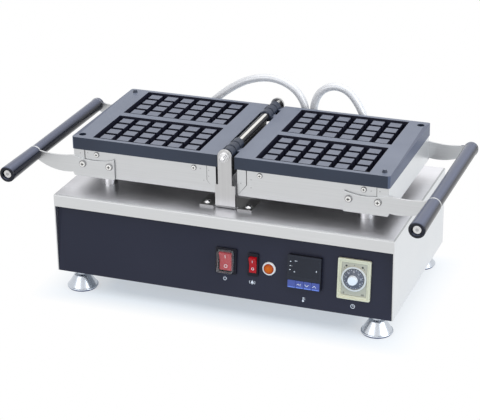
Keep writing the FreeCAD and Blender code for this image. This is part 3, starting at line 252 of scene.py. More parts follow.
# Also the tone of the grey disc in the middle of each handle rod's nut
weld_mark = surface("weld_mark", (0.34, 0.34, 0.35), (0.46, 0.46, 0.47), (0.40, 0.55), 0.0006, Metallic=1.0)
# Darker steel: painted shade on the screws' rims, the housings' undersides and the fronts of the front
# bracket's feet
shade_painted_steel = surface("shade_painted_steel", (0.27, 0.27, 0.275), (0.34, 0.34, 0.345), (0.40, 0.55), 0.0006,
                     Metallic=1.0)
# Hinge shaft: dark paint as a painted reflection of its slot, and a bright band along its top as a painted
# highlight
shaft_dark_reflection = surface("shaft_dark_reflection", (0.010, 0.011, 0.014), (0.022, 0.020, 0.020), (0.20, 0.32), 0.0005,
                     stretch=(1, 40, 1), Specular_IOR_Level=0.3)
shaft_highlight = surface("shaft_highlight", (0.84, 0.83, 0.79), (0.92, 0.91, 0.88), (0.10, 0.18), 0.0005,
                       stretch=(1, 40, 1), Metallic=1.0)
# Near-black: painted shade on the housing walls along the hinge gap
hinge_gap_shade = surface("hinge_gap_shade", (0.020, 0.021, 0.024), (0.040, 0.040, 0.042), (0.45, 0.60), 0.003)
chrome = surface("chrome", (0.53, 0.57, 0.63), (0.62, 0.65, 0.70), (0.22, 0.30), 0.002, depth=0.000005,
                 Metallic=1.0)
nickel = surface("nickel_plate", (0.58, 0.57, 0.55), (0.68, 0.67, 0.65), (0.22, 0.34), 0.0015, Metallic=1.0)
coating = surface("plate_coating", (0.012, 0.019, 0.038), (0.017, 0.026, 0.049), (0.40, 0.52), 0.0007,
                  depth=0.00003)
# Lighter copies of the plate coating for the faces, peg tops and end walls: painted light
lit_coating_face = surface("plate_face", (0.128, 0.147, 0.200), (0.156, 0.177, 0.234), (0.36, 0.48), 0.0005,
                       depth=0.00002)
lit_coating_peg = surface("plate_pegs", (0.121, 0.136, 0.184), (0.147, 0.163, 0.214), (0.38, 0.50), 0.0005,
                      depth=0.00002, cloud=0.02)
lit_coating_wall = surface("plate_wall", (0.066, 0.080, 0.126), (0.082, 0.097, 0.148), (0.38, 0.50), 0.0006,
                       depth=0.00002)
# Near-black copy for the moulds' floors and walls: painted shade
shaded_mould_coating = surface("plate_mould", (0.0058, 0.0062, 0.0165), (0.0085, 0.0090, 0.0220), (0.50, 0.62),
                       0.0007, depth=0.00003, Specular_IOR_Level=0.25)
panel_paint = surface("panel_paint", (0.013, 0.0145, 0.031), (0.018, 0.0195, 0.037), (0.30, 0.38), 0.0005,
                      depth=0.00001, cloud=0.16, Specular_IOR_Level=0.27)
black_plastic = surface("black_plastic", (0.006, 0.006, 0.011), (0.010, 0.010, 0.017), (0.26, 0.36), 0.0005,
                        depth=0.00001, Specular_IOR_Level=0.2)
# Dark blue band round the bottom of each levelling foot
sole_band = surface("sole_band", (0.020, 0.036, 0.130), (0.030, 0.050, 0.165), (0.45, 0.60), 0.0008,
                      Specular_IOR_Level=0.3)
red_rocker = surface("red_rocker", (0.40, 0.004, 0.010), (0.48, 0.007, 0.014), (0.10, 0.18), 0.004,
                     depth=0.00001, Specular_IOR_Level=0.2, Coat_Weight=0.08, Coat_Roughness=0.08)
power_red = surface("power_red", (0.44, 0.030, 0.046), (0.54, 0.048, 0.064), (0.14, 0.24), 0.004,
                    depth=0.00001, Coat_Weight=0.3, Coat_Roughness=0.08)
lamp_white = surface("lamp_white", (0.80, 0.77, 0.75), (0.88, 0.85, 0.83), (0.26, 0.36), 0.002)
controller_plastic = surface("controller_plastic", (0.018, 0.020, 0.028), (0.024, 0.026, 0.036), (0.36, 0.46),
                             0.0005, Specular_IOR_Level=0.22)
window_plastic = surface("window_plastic", (0.017, 0.019, 0.027), (0.021, 0.023, 0.032), (0.14, 0.20), 0.004,
                         Specular_IOR_Level=0.22)
key_plastic = surface("key_plastic", (0.050, 0.075, 0.290), (0.066, 0.095, 0.350), (0.32, 0.44), 0.0006)
# Light blue of the painted highlight along the keys
key_edge_highlight = surface("key_edge_highlight", (0.12, 0.20, 0.66), (0.18, 0.28, 0.78), (0.24, 0.34), 0.0006)
cream_plastic = surface("cream_plastic", (0.66, 0.62, 0.44), (0.74, 0.70, 0.52), (0.34, 0.44), 0.0008)
timer_plastic = surface("timer_plastic", (0.44, 0.42, 0.33), (0.52, 0.49, 0.39), (0.38, 0.50), 0.0006)
dial_plastic = surface("dial_plastic", (0.075, 0.085, 0.115), (0.125, 0.135, 0.170), (0.30, 0.42), 0.0006,
                       cloud=0.003)
ring_plastic = surface("ring_plastic", (0.66, 0.65, 0.62), (0.73, 0.72, 0.69), (0.28, 0.40), 0.001)
cap_plastic = surface("cap_plastic", (0.80, 0.81, 0.83), (0.87, 0.88, 0.90), (0.28, 0.40), 0.001)
print_white = surface("print_white", (0.74, 0.74, 0.77), (0.82, 0.82, 0.85), (0.45, 0.55), 0.0005)
print_dark = surface("print_dark", (0.020, 0.020, 0.024), (0.030, 0.030, 0.035), (0.45, 0.55), 0.0005)
heater_tube = surface("heater_tube", (0.20, 0.18, 0.17), (0.30, 0.27, 0.25), (0.40, 0.55), 0.003,
                      Metallic=0.9)
mineral_wool = surface("mineral_wool", (0.62, 0.58, 0.46), (0.76, 0.72, 0.60), (0.80, 0.95), 0.0012,
                       stretch=(3, 1, 1), depth=0.0006)
module_plastic = surface("module_plastic", (0.04, 0.04, 0.045), (0.06, 0.06, 0.065), (0.42, 0.55), 0.0006)


def top_lit_plastic():
    """Black plastic of the grips, turned a paler grey along the top as a painted highlight."""
    made, tree, shader = new_material("grip_plastic", Specular_IOR_Level=0.28)
    place = add_node(tree, "ShaderNodeTexCoord")
    parts = add_node(tree, "ShaderNodeSeparateXYZ")
    feed(tree, parts, Vector=place.outputs["Normal"])
    grain = noise(tree, 0.0006)
    # Painted highlight: paler where the surface faces up
    upward = calculate(tree, "ADD", parts.outputs["Z"], spread(tree, grain, -0.05, 0.05))
    feed(tree, shader, Roughness=spread(tree, grain, 0.16, 0.22),
         Base_Color=tint(tree, upward, (0.006, 0.007, 0.014), (0.102, 0.114, 0.168), 0.45, 0.85))
    add_bump(tree, shader, grain, 0.00001)
    return made


def braid():
    """Silver sleeve of the conduits: two sets of fine strands that cross, drawn in the sleeve's own map."""
    made, tree, shader = new_material("conduit_braid", Metallic=0.12)
    place = add_node(tree, "ShaderNodeTexCoord")
    strands = []
    for lean in (BRAID_LEAN, -BRAID_LEAN):
        mapping = add_node(tree, "ShaderNodeMapping", Rotation=(0, 0, lean))
        wave = add_node(tree, "ShaderNodeTexWave", Scale=BRAID_SCALE)
        feed(tree, mapping, Vector=place.outputs["UV"])
        feed(tree, wave, Vector=mapping.outputs["Vector"])
        strands.append(wave.outputs["Fac"])
    weave = calculate(tree, "MAXIMUM", *strands)
    feed(tree, shader, Roughness=spread(tree, weave, 0.34, 0.22),
         Base_Color=tint(tree, weave, (0.64, 0.65, 0.67), (0.77, 0.77, 0.79), 0.2, 0.9))
    add_bump(tree, shader, weave, 0.000012)
    return made


def amber_lens():
    """Moulded amber dome: bright at its middle, deep red towards its rim, with a fine prism pattern."""
    made, tree, shader = new_material(
        "amber_lens", Roughness=0.22, Specular_IOR_Level=0.15, Emission_Strength=0.42)
    place = add_node(tree, "ShaderNodeTexCoord")
    mapping = add_node(tree, "ShaderNodeMapping", Location=[-amount / LAMP_REACH for amount in LAMP_PLACE],
                       Scale=[1 / LAMP_REACH] * 3)
    glow = add_node(tree, "ShaderNodeTexGradient")
    glow.gradient_type = "SPHERICAL"
    feed(tree, mapping, Vector=place.outputs["Object"])
    feed(tree, glow, Vector=mapping.outputs["Vector"])
    colour = tint(tree, glow.outputs["Fac"], (0.26, 0.034, 0.004), (0.92, 0.24, 0.004), 0.18, 0.50)
    feed(tree, shader, Base_Color=colour, Emission_Color=colour)
    cells = add_node(tree, "ShaderNodeTexVoronoi", Scale=PRISM_SCALE)
    feed(tree, cells, Vector=place.outputs["Object"])
    add_bump(tree, shader, cells.outputs["Distance"], 0.00006)
    return made


def clear_edge():
    """Moulded edges of the splash cover, which gather light and look frosted."""
    made, tree, shader = new_material("clear_edge", Transmission_Weight=0.88, IOR=1.3)
    feed(tree, shader, Base_Color=tint(tree, noise(tree, 0.003), (0.66, 0.68, 0.72), (0.80, 0.82, 0.86)),
         Roughness=spread(tree, noise(tree, 0.002), 0.15, 0.28))
    return made


def clear_plastic():
    """Clear splash cover, faintly hazed."""
    made, tree, shader = new_material(
        "clear_plastic", Base_Color=(0.97, 0.97, 0.98, 1), Transmission_Weight=1.0, IOR=1.3)
    feed(tree, shader, Roughness=spread(tree, noise(tree, 0.003), 0.02, 0.07))
    return made


grip_plastic = top_lit_plastic()
FINISHES = {
    "base_shell": case_steel,
    "front_panel": panel_paint,
    "rear_panel": galvanised,
    "bottom_plate": galvanised,
    "front_hinge_bracket": bracket_steel,
    "rear_hinge_bracket": bracket_steel,
    "bracket_bolts": machined,
    "case_screws": machined,
    "hinge_shaft": shaft_dark_reflection,
    "shaft_cap_nuts": machined,
    "rest_posts": machined,
    "conduit_glands": nickel,
    "mains_gland": black_plastic,
    "power_switch_body": black_plastic,
    "power_switch_cover": clear_plastic(),
    "alarm_switch_body": black_plastic,
    "pilot_lamp_bezel": lamp_white,
    "pilot_lamp_lens": amber_lens(),
    "controller_case": controller_plastic,
    "controller_window": window_plastic,
    "timer_frame": cream_plastic,
    "timer_body": timer_plastic,
    "timer_knob": dial_plastic,
    "terminal_block": module_plastic,
    "heater_relay": module_plastic,
    "alarm_buzzer": module_plastic,
    "power_rocker": power_red,
    "alarm_rocker": red_rocker,
}
HALF_FINISHES = {
    "plate": coating,
    "housing": housing_steel,
    "heater": heater_tube,
    "insulation": mineral_wool,
    "arms": housing_steel,
    "screws": machined,
    "handle_rod": machined,
    "long_grip": grip_plastic,
    "front_grip": grip_plastic,
    "grip_cap": grip_plastic,
    "conduit_elbow": nickel,
}
for key in KEYS:
    FINISHES[f"controller_key_{key}"] = key_plastic
for foot in FEET:
    FINISHES[foot] = chrome
for side in SIDES:
    for piece, finish in HALF_FINISHES.items():
        FINISHES[f"{side}_{piece}"] = finish


def finish_nodes():
    for name, finish in FINISHES.items():
        mesh = nodes[name].data
        mesh.materials.clear()
        mesh.materials.append(finish)


def paint_faces(name, finish, wanted):
    """Give a second finish to the faces of a node whose middle and normal pass a test."""
    mesh = nodes[name].data
    mesh.materials.append(finish)
    index = len(mesh.materials) - 1
    for face in mesh.polygons:
        if wanted(face.center, face.normal):
            face.material_index = index


def in_mould(middle):
    across, along = abs(middle.x), abs(middle.y - PLATE_MIDDLE)
    return MOULD_X[0] < across < MOULD_X[1] and MOULD_Y[0] < along < MOULD_Y[1] and middle.z > MOULD_FLOOR


def is_plate_face(middle, normal):
    return normal.z > FACING and middle.z > FACE_LEVEL - PEG_DROP and abs(middle.x) > KNUCKLE_REACH


def is_hinge_wall(middle, normal):
    return abs(middle.x) < HINGE_WALL and abs(normal.x) > FACING


def is_outer_wall(middle, normal):
    return abs(middle.x) > MOULD_X[1] and abs(normal.x) > SQUARE


def from_dial(middle):
    """How far a point is from the axis of the timer's dial."""
    reach = middle - DIAL_PLACE
    return (reach - PANEL_IN * reach.dot(PANEL_IN)).length


def paint_details():
    for side in SIDES:
        plate, housing = f"{side}_plate", f"{side}_housing"
        # Painted shade: the moulds near-black
        paint_faces(plate, shaded_mould_coating, lambda middle, normal: in_mould(middle))
        # Painted light: the plates' faces and peg tops lighter than their sides
        paint_faces(plate, lit_coating_face, is_plate_face)
        paint_faces(plate, lit_coating_peg, lambda middle, normal: (
            in_mould(middle) and is_plate_face(middle, normal)))
        # Painted light: the plates' end walls lighter
        plate_end = max(abs(corner.x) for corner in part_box(plate)) - END_REACH
        paint_faces(plate, lit_coating_wall, lambda middle, normal, end=plate_end: abs(middle.x) > end)
        # Painted shade: the housing walls along the hinge gap near-black
        paint_faces(housing, hinge_gap_shade, is_hinge_wall)
        # Painted light: the housings' outer end walls lighter
        paint_faces(housing, lit_side_steel, is_outer_wall)
        # Painted shade: the housings' undersides darker, which also darkens their reflection in the case top
        paint_faces(housing, shade_painted_steel, lambda middle, normal: normal.z < -FACING)
        low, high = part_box(f"{side}_handle_rod")
        paint_faces(f"{side}_arms", grip_plastic, lambda middle, normal, axis=(low + high) / 2: (
            middle.y > 0 and abs(normal.y) < SIDEWAYS
            and math.hypot(middle.x - axis.x, middle.z - axis.z) < EYE_REACH))
    # Painted shade: the front faces of the front bracket's feet darker
    foot_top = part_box("front_hinge_bracket")[0].z + BRACKET_FOOT
    paint_faces("front_hinge_bracket", shade_painted_steel, lambda middle, normal: (
        normal.y < -FACING and middle.z < foot_top))
    # Painted shade: the upper part of the bend along the lip darker
    paint_faces("base_shell", case_bend, lambda middle, normal: BEND_START < normal.z < SQUARE)
    # Painted light: the case's top faces in a lighter copy of its steel
    paint_faces("base_shell", lit_top_steel, lambda middle, normal: normal.z > SQUARE)
    # Painted light: the case's end walls lighter
    paint_faces("base_shell", lit_side_steel, lambda middle, normal: abs(normal.x) > SQUARE)
    for foot in FEET:
        sole_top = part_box(foot)[0].z + SOLE_HEIGHT
        paint_faces(foot, sole_band, lambda middle, normal, top=sole_top: (
            middle.z < top and normal.z < FACING))
    # Painted highlight: a bright band along the top of the shaft
    paint_faces("hinge_shaft", shaft_highlight, lambda middle, normal: normal.dot(SHAFT_TOP) > SHAFT_HIGHLIGHT_BAND)
    paint_faces("timer_knob", cap_plastic, lambda middle, normal: from_dial(middle) < HUB_RADIUS)
    paint_faces("timer_body", ring_plastic, lambda middle, normal: (
        RING_RADII[0] < from_dial(middle) < RING_RADII[1]
        and (middle - DIAL_PLACE).dot(PANEL_IN) < -RING_RISE))
    paint_faces("power_switch_cover", clear_edge(), lambda middle, normal: (
        abs(normal.dot(PANEL_IN)) < SIDEWAYS))
    paint_faces("controller_case", black_plastic, lambda middle, normal: normal.dot(PANEL_IN) > -FACING)


# Smooth shading, and the widths of rounded edges
SHARP_ANGLE = math.radians(32)
FLAT_ANGLE = math.radians(0.5)
ROUND_ANGLE = math.radians(40)
ROUND_STEPS = 3
WELD_REACH = 0.002 * MM
KEY_EDGE = 0.3
HALF_EDGES = {"plate": 0.8, "housing": 0.4, "arms": 0.5}
NODE_EDGES = {
    "base_shell": 0.4, "front_hinge_bracket": 0.5, "rear_hinge_bracket": 0.5, "power_switch_body": 0.6,
    "alarm_switch_body": 0.5, "controller_case": 0.3, "timer_frame": 0.5, "timer_body": 0.3,
    "power_switch_cover": 0.4, "power_rocker": 0.5, "alarm_rocker": 0.4, "timer_knob": 0.3,
    "shaft_cap_nuts": 0.4, "conduit_glands": 0.4, "mains_gland": 0.5,
}
for side in SIDES:
    for piece, width in HALF_EDGES.items():
        NODE_EDGES[f"{side}_{piece}"] = width
for key in KEYS:
    NODE_EDGES[f"controller_key_{key}"] = KEY_EDGE


def smoothing():
    """A modifier's tree that joins the solids' faces and shades them smooth, up to a sharp angle."""
    tree = bpy.data.node_groups.new("smooth_by_angle", "GeometryNodeTree")
    for way in ("INPUT", "OUTPUT"):
        tree.interface.new_socket("Geometry", in_out=way, socket_type="NodeSocketGeometry")
    steps = [tree.nodes.new(kind) for kind in (
        "NodeGroupInput", "GeometryNodeMergeByDistance", "GeometryNodeRemoveAttribute",
        "GeometryNodeSetShadeSmooth", "GeometryNodeSetShadeSmooth", "NodeGroupOutput",
    )]
    for before, after in zip(steps, steps[1:]):
        tree.links.new(before.outputs["Geometry"], after.inputs["Geometry"])
    _, weld, plain, _, edges, _ = steps
    weld.inputs["Distance"].default_value = WELD_REACH
    plain.inputs["Name"].default_value = "custom_normal"
    edges.domain = "EDGE"
    angle = tree.nodes.new("GeometryNodeInputMeshEdgeAngle")
    compare = tree.nodes.new("FunctionNodeCompare")
    compare.operation = "LESS_THAN"
    compare.inputs["B"].default_value = SHARP_ANGLE
    tree.links.new(angle.outputs["Unsigned Angle"], compare.inputs["A"])
    tree.links.new(compare.outputs["Result"], edges.inputs["Shade Smooth"])
    return tree


def soften_edges():
    """Smooth shading on every solid, and small rounded edges where bent, cast and moulded ones have them."""
    tree = smoothing()
    for node in nodes.values():
        node.modifiers.new("Smooth", "NODES").node_group = tree
    for name, width in NODE_EDGES.items():
        flat = nodes[name].modifiers.new("Flat", "DECIMATE")
        flat.decimate_type = "DISSOLVE"
        flat.angle_limit = FLAT_ANGLE
        flat.delimit = {"MATERIAL"}
        bevel = nodes[name].modifiers.new("Edge", "BEVEL")
        bevel.harden_normals = True
        bevel.width = width * MM
        bevel.segments = ROUND_STEPS
        bevel.limit_method = "ANGLE"
        bevel.angle_limit = ROUND_ANGLE


# Mesh building blocks

def to_object(name, mesh, smooth=False):
    data = bpy.data.meshes.new(name)
    mesh.to_mesh(data)
    mesh.free()
    for face in data.polygons:
        face.use_smooth = smooth
    made = bpy.data.objects.new(name, data)
    scene.collection.objects.link(made)
    return made


def add_strip(mesh, first, second):
    """Faces between two closed rings of points."""
    for index in range(len(first)):
        following = (index + 1) % len(first)
        mesh.faces.new((first[index], first[following], second[following], second[index]))


def circle(x, y, radius, sides=24):
    turns = [math.tau * index / sides for index in range(sides)]
    return [(x + radius * math.cos(turn), y + radius * math.sin(turn)) for turn in turns]


def evaluated_mesh(holder):
    bpy.context.view_layer.update()
    return bpy.data.meshes.new_from_object(holder.evaluated_get(bpy.context.evaluated_depsgraph_get()))


# Conduits

def smooth_line(route, level):
    """Points of the smooth line that a conduit follows, read from the spline on its route."""
    data = bpy.data.curves.new("route", "CURVE")
    data.dimensions = "3D"
    data.resolution_u = ROUTE_STEPS
    spline = data.splines.new("NURBS")
    spline.points.add(len(route) - 1)
    for point, (x, z) in zip(spline.points, route):
        point.co = (x * MM, level, z * MM, 1)
    spline.order_u = 3
    spline.use_endpoint_u = True
    carrier = bpy.data.objects.new("route", data)
    scene.collection.objects.link(carrier)
    line = [vertex.co.copy() for vertex in evaluated_mesh(carrier).vertices]
    bpy.data.objects.remove(carrier)
    return line


def ring_points(centre, across, along, radius, sides):
    """Points of a circle about a line's direction."""
    up = along.cross(across).normalized()
    turns = [math.tau * index / sides for index in range(sides)]
    return [centre + (across * math.cos(turn) + up * math.sin(turn)) * radius for turn in turns]


def lay_map(mesh, rings, radius):
    """A map in metres: round the tube, and along it. It closes on itself after one turn."""
    layer = mesh.loops.layers.uv.new("UVMap")
    spots = {vertex: (row, column) for row, ring in enumerate(rings) for column, vertex in enumerate(ring)}
    sides = len(rings[0])
    middles = [sum((vertex.co for vertex in ring), Vector()) / sides for ring in rings]
    lengths = [0.0]
    for before, after in zip(middles, middles[1:]):
        lengths.append(lengths[-1] + (after - before).length)
    for face in mesh.faces:
        wraps = {spots[loop.vert][1] for loop in face.loops} >= {0, sides - 1}
        for loop in face.loops:
            row, column = spots[loop.vert]
            turn = column + sides if wraps and column == 0 else column
            loop[layer].uv = (math.tau * radius * turn / sides, lengths[row])


def tube(name, line, radius, sides):
    """A closed tube along a line that stays in one plane square to Y."""
    mesh = bmesh.new()
    rings = []
    for index, centre in enumerate(line):
        along = (line[min(index + 1, len(line) - 1)] - line[max(index - 1, 0)]).normalized()
        rings.append([mesh.verts.new(point) for point in ring_points(centre, Y_AXIS, along, radius, sides)])
    for first, second in zip(rings, rings[1:]):
        add_strip(mesh, first, second)
    mesh.faces.new(rings[0][::-1])
    mesh.faces.new(rings[-1])
    bmesh.ops.recalc_face_normals(mesh, faces=mesh.faces)
    lay_map(mesh, rings, radius)
    return to_object(name, mesh, smooth=True)


def line_length(line):
    return sum((after - before).length for before, after in zip(line, line[1:]))


def conduit(side, route):
    """One conduit: a braided sleeve along a smooth line through its route, in place of the node's plain one.
    """
    node = f"{side}_conduit"
    low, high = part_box(node)
    line = smooth_line(route, (low.y + high.y) / 2)
    sleeve = tube(f"{side}_conduit_sleeve", line, CONDUIT_RADIUS, CONDUIT_SIDES)
    sleeve.data.materials.append(braid())
    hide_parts(node)
    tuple(line[-1])
    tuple(line[0])
    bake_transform(sleeve)
    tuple(line[0])
    line_length(line)


# Screws with a cross recess, in shares of the head's radius and height

HEAD_SHARE = 0.54
SHANK_SHARE = 0.5
HEAD_PROFILE = ((1, 0), (1, 0.35), (0.93, 0.66), (0.76, 0.88), (0.45, 1), (0, 1))
RIM_SHARE = 0.8
RECESS_REACH, RECESS_HALF = 0.56, 0.15
RECESS_FLOOR, RECESS_TOP = 0.25, 1.4
RECESS_TAPER = 0.45
SCREW_SIDES = 32
# Finishes of a screw: its steel, near-black in the cross recess as painted shade, and darker steel round the
# head's rim as painted shade
SCREW_FINISHES = (screw_steel, recess_dark, shade_painted_steel)
JOIN_REACH = 0.01 * MM


def turned(profile, sides):
    """A closed solid turned about Z from radii and heights that start and end on the axis."""
    mesh = bmesh.new()
    rings = []
    for radius, height in profile[1:-1]:
        rings.append([mesh.verts.new((*point, height)) for point in circle(0, 0, radius, sides)])
    for first, second in zip(rings, rings[1:]):
        add_strip(mesh, first, second)
    for (_, height), ring in ((profile[0], rings[0]), (profile[-1], rings[-1])):
        tip = mesh.verts.new((0, 0, height))
        for index in range(sides):
            mesh.faces.new((ring[index], ring[(index + 1) % sides], tip))
    bmesh.ops.recalc_face_normals(mesh, faces=mesh.faces)
    return mesh


def cross_recess(reach, half, low, high):
    """A tapered cross-shaped plug, to be cut out of a screw's head."""
    corner = [(reach, -half), (reach, half), (half, half)]
    quarters = [Matrix.Rotation(math.radians(90 * turn), 2) for turn in range(4)]
    outline = [quarter @ Vector(point) for quarter in quarters for point in corner]
    mesh = bmesh.new()
    rings = []
    for height, share in ((low, RECESS_TAPER), (high, 1.0)):
        rings.append([mesh.verts.new((point.x * share, point.y * share, height)) for point in outline])
    add_strip(mesh, *rings)
    mesh.faces.new(rings[0][::-1])
    mesh.faces.new(rings[1])
    bmesh.ops.recalc_face_normals(mesh, faces=mesh.faces)
    return mesh


def recessed_screw(radius, height, length):
    """Mesh of a pan-head screw along Z, its head standing on the level 0."""
    shank = radius * SHANK_SHARE
    head = [(radius * across, height * up) for across, up in HEAD_PROFILE]
    screw = to_object("screw", turned([(0, -length), (shank, -length), (shank, 0), *head], SCREW_SIDES))
    plug = to_object("plug", cross_recess(
        radius * RECESS_REACH, radius * RECESS_HALF, height * RECESS_FLOOR, height * RECESS_TOP))
    for holder, finish in zip((screw, plug), SCREW_FINISHES):
        holder.data.materials.append(finish)
    cut = screw.modifiers.new("Recess", "BOOLEAN")
    cut.operation = "DIFFERENCE"
    cut.solver = "EXACT"
    cut.object = plug
    cut.material_mode = "TRANSFER"
    mesh = evaluated_mesh(screw)
    # Painted shade: a darker ring round the rim of each head
    for face in mesh.polygons:
        if face.center.z > 0 and face.center.xy.length > radius * RIM_SHARE:
            face.material_index = SCREW_FINISHES.index(shade_painted_steel)
    bpy.data.objects.remove(screw)
    bpy.data.objects.remove(plug)
    return mesh


def islands(node):
    """Lowest and highest corners of each separate solid of a node."""
    mesh = bmesh.new()
    mesh.from_mesh(nodes[node].data)
    bmesh.ops.remove_doubles(mesh, verts=mesh.verts, dist=JOIN_REACH)
    left = set(mesh.verts)
    boxes = []
    while left:
        found = [left.pop()]
        for vertex in found:
            fresh = [edge.other_vert(vertex) for edge in vertex.link_edges]
            fresh = [other for other in fresh if other in left]
            left.difference_update(fresh)
            found += fresh
        axes = list(zip(*(vertex.co for vertex in found)))
        boxes.append(tuple(Vector([pick(axis) for axis in axes]) for pick in (min, max)))
    mesh.free()
    return sorted(boxes, key=lambda box: tuple(box[0]))


def screws(node, body):
    """Screws along Y in place of a node's plain ones, with their heads away from the plates' middle."""
    mesh = bmesh.new()
    for low, high in islands(node):
        radius = (high.x - low.x) / 2
        height = radius * HEAD_SHARE
        outwards = -1 if (low.y + high.y) / 2 < PLATE_MIDDLE else 1
        seat = low.y + height if outwards < 0 else high.y - height
        made = recessed_screw(radius, height, high.y - low.y - height)
        middle = (low + high) / 2
        turn = Matrix.Rotation(math.radians(-90 * outwards), 4, "X")
        made.transform(Matrix.Translation((middle.x, seat, middle.z)) @ turn)
        mesh.from_mesh(made)
    piece = to_object(f"{node}_recessed", mesh)
    for finish in SCREW_FINISHES:
        piece.data.materials.append(finish)
    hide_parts(node)
    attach(piece, body)


# Marks laid on a surface. Outlines are X and a height in millimetres on a board, which is a place, its two
# directions and its aim. Their points are dropped on the surface from some way in front of the board.

INK_RISE = 0.12 * MM
INK_SINK = 0.08 * MM
DROP_REACH = 0.3
FIGURE_DEPTH = 0.5
FIGURE_STEPS = 3
FIGURE_JOIN = 0.001 * MM


def dropper(board, *names):
    """A function that drops a point of a board on the surface of some nodes, and lifts it by a rise."""
    origin, across, up, inward = board
    points, faces = [], []
    for name in names:
        mesh = nodes[name].data
        start = len(points)
        points += [vertex.co for vertex in mesh.vertices]
        faces += [[start + index for index in face.vertices] for face in mesh.polygons]
    tree = BVHTree.FromPolygons(points, faces)

    def spot(x, height, rise):
        start = origin + (across * x + up * height) * MM - inward * DROP_REACH
        found = tree.ray_cast(start, inward)[0]
        if found is None:
            raise ValueError(f"{names} has no surface at {x:.2f}, {height:.2f}")
        return found - inward * rise
    return spot


def marks(name, board, on, body, finish, shapes):
    """Thin raised marks. A shape is one outline, or an outer and an inner one with as many points."""
    mesh = bmesh.new()
    spot = dropper(board, *on)
    for loops in shapes:
        tops = [[mesh.verts.new(spot(*point, INK_RISE)) for point in loop] for loop in loops]
        lows = [[mesh.verts.new(spot(*point, -INK_SINK)) for point in loop] for loop in loops]
        for level in (tops, lows):
            if len(loops) == 2:
                add_strip(mesh, *level)
            else:
                mesh.faces.new(level[0])
        for top, low in zip(tops, lows):
            add_strip(mesh, top, low)
    bmesh.ops.recalc_face_normals(mesh, faces=mesh.faces)
    own_piece(to_object(name, mesh), body, finish)


def figures(name, board, on, body, finish, labels):
    """Raised figures. A label is its text, place, size and turn in degrees."""
    mesh = bmesh.new()
    spot = dropper(board, *on)
    for text, x, height, size, turn in labels:
        data = bpy.data.curves.new("figure", "FONT")
        data.body = text
        data.size = size
        data.extrude = FIGURE_DEPTH
        data.align_x = "CENTER"
        data.align_y = "CENTER"
        data.resolution_u = FIGURE_STEPS
        holder = bpy.data.objects.new("figure", data)
        scene.collection.objects.link(holder)
        made = evaluated_mesh(holder)
        bpy.data.objects.remove(holder)
        spin = Matrix.Rotation(math.radians(turn), 2)
        for vertex in made.vertices:
            flat = spin @ vertex.co.xy
            vertex.co = spot(x + flat.x, height + flat.y, INK_RISE if vertex.co.z > 0 else -INK_SINK)
        mesh.from_mesh(made)
    bmesh.ops.remove_doubles(mesh, verts=mesh.verts, dist=FIGURE_JOIN)
    bmesh.ops.recalc_face_normals(mesh, faces=mesh.faces)
    own_piece(to_object(name, mesh), body, finish)


def white_marks(name, on, body, shapes):
    """White print on the control panel and on what stands in it."""
    marks(name, PANEL, on, body, print_white, shapes)


def own_piece(piece, body, finish):
    """Give a piece of the scene's own its finish, slot and body."""
    piece.data.materials.append(finish)
    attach(piece, body)


def disc(x, y, radius):
    return [circle(x, y, radius)]


def hoop(x, y, radius, width):
    return [circle(x, y, radius), circle(x, y, radius - width)]


def bar(x0, y0, x1, y1, width):
    """A straight stroke between two points."""
    side = Vector((y0 - y1, x1 - x0)).normalized() * width / 2
    return [[(x0 + side.x, y0 + side.y), (x1 + side.x, y1 + side.y), (x1 - side.x, y1 - side.y),
             (x0 - side.x, y0 - side.y)]]


def bow(x, y, radius, width, start, end, steps=20):
    """A stroke along an arc, between two directions in degrees."""
    turns = [math.radians(start + (end - start) * step / steps) for step in range(steps + 1)]
    outer, inner = ([(x + reach * math.cos(turn), y + reach * math.sin(turn)) for turn in turns]
                    for reach in (radius, radius - width))
    return [outer + inner[::-1]]


def chevron(x, y, wide, high, width):
    """Two strokes that meet at a point."""
    return [bar(x - wide, y, x, y + high, width), bar(x, y + high, x + wide, y, width)]


# Places of the signs on the panel, and the outline of the bell
POWER_SIGN, BELL_SIGN, HEAT_SIGN, CLOCK_SIGN = (7.3, 25.2), (47.3, 25.4), (121.2, 11.8), (191.4, 12.7)
BELL = (
    (-2.6, -1.6), (2.6, -1.6), (1.8, -0.6), (1.6, 1.0), (0.9, 2.0), (0, 2.3), (-0.9, 2.0), (-1.6, 1.0),
    (-1.8, -0.6),
)
# Rocker marks: X, heights of the ring and of the bar, and their size
ROCKER_MARKS = {"power": (9.2, 44.6, 59.0, 2.5), "alarm": (48.5, 46.2, 57.2, 1.9)}
# Controller: lamps beside its window, and the row of keys with a painted highlight along the edge of each
CONTROLLER_LAMPS = ((103.4, 65.8), (110.4, 67.4), (103.2, 59.9), (103.0, 54.2), (109.2, 51.8))
KEYS_MIDDLE, KEY_PITCH = 122.9, 11.4
KEY_HALF, KEY_FOOT, KEY_HIGHLIGHT = 5.0, 30.2, 1.3
# Dial of the timer: ticks, of which every second one is longer, and figures, with turns in degrees
TICKS, TICK_INNER, TICK_OUTER, TICK_WIDTH = 24, (12.9, 12.2), 13.7, 0.45
FIGURES, FIGURE_COUNT, FIGURE_RADIUS, FIGURE_SIZE = 7, 10, 10.6, 2.6
FIGURE_START, FIGURE_TURN = 210, 40
# Face of the timer: height and size of the range's figures
RANGE_HEIGHT, RANGE_SIZE = 31.4, 4.2


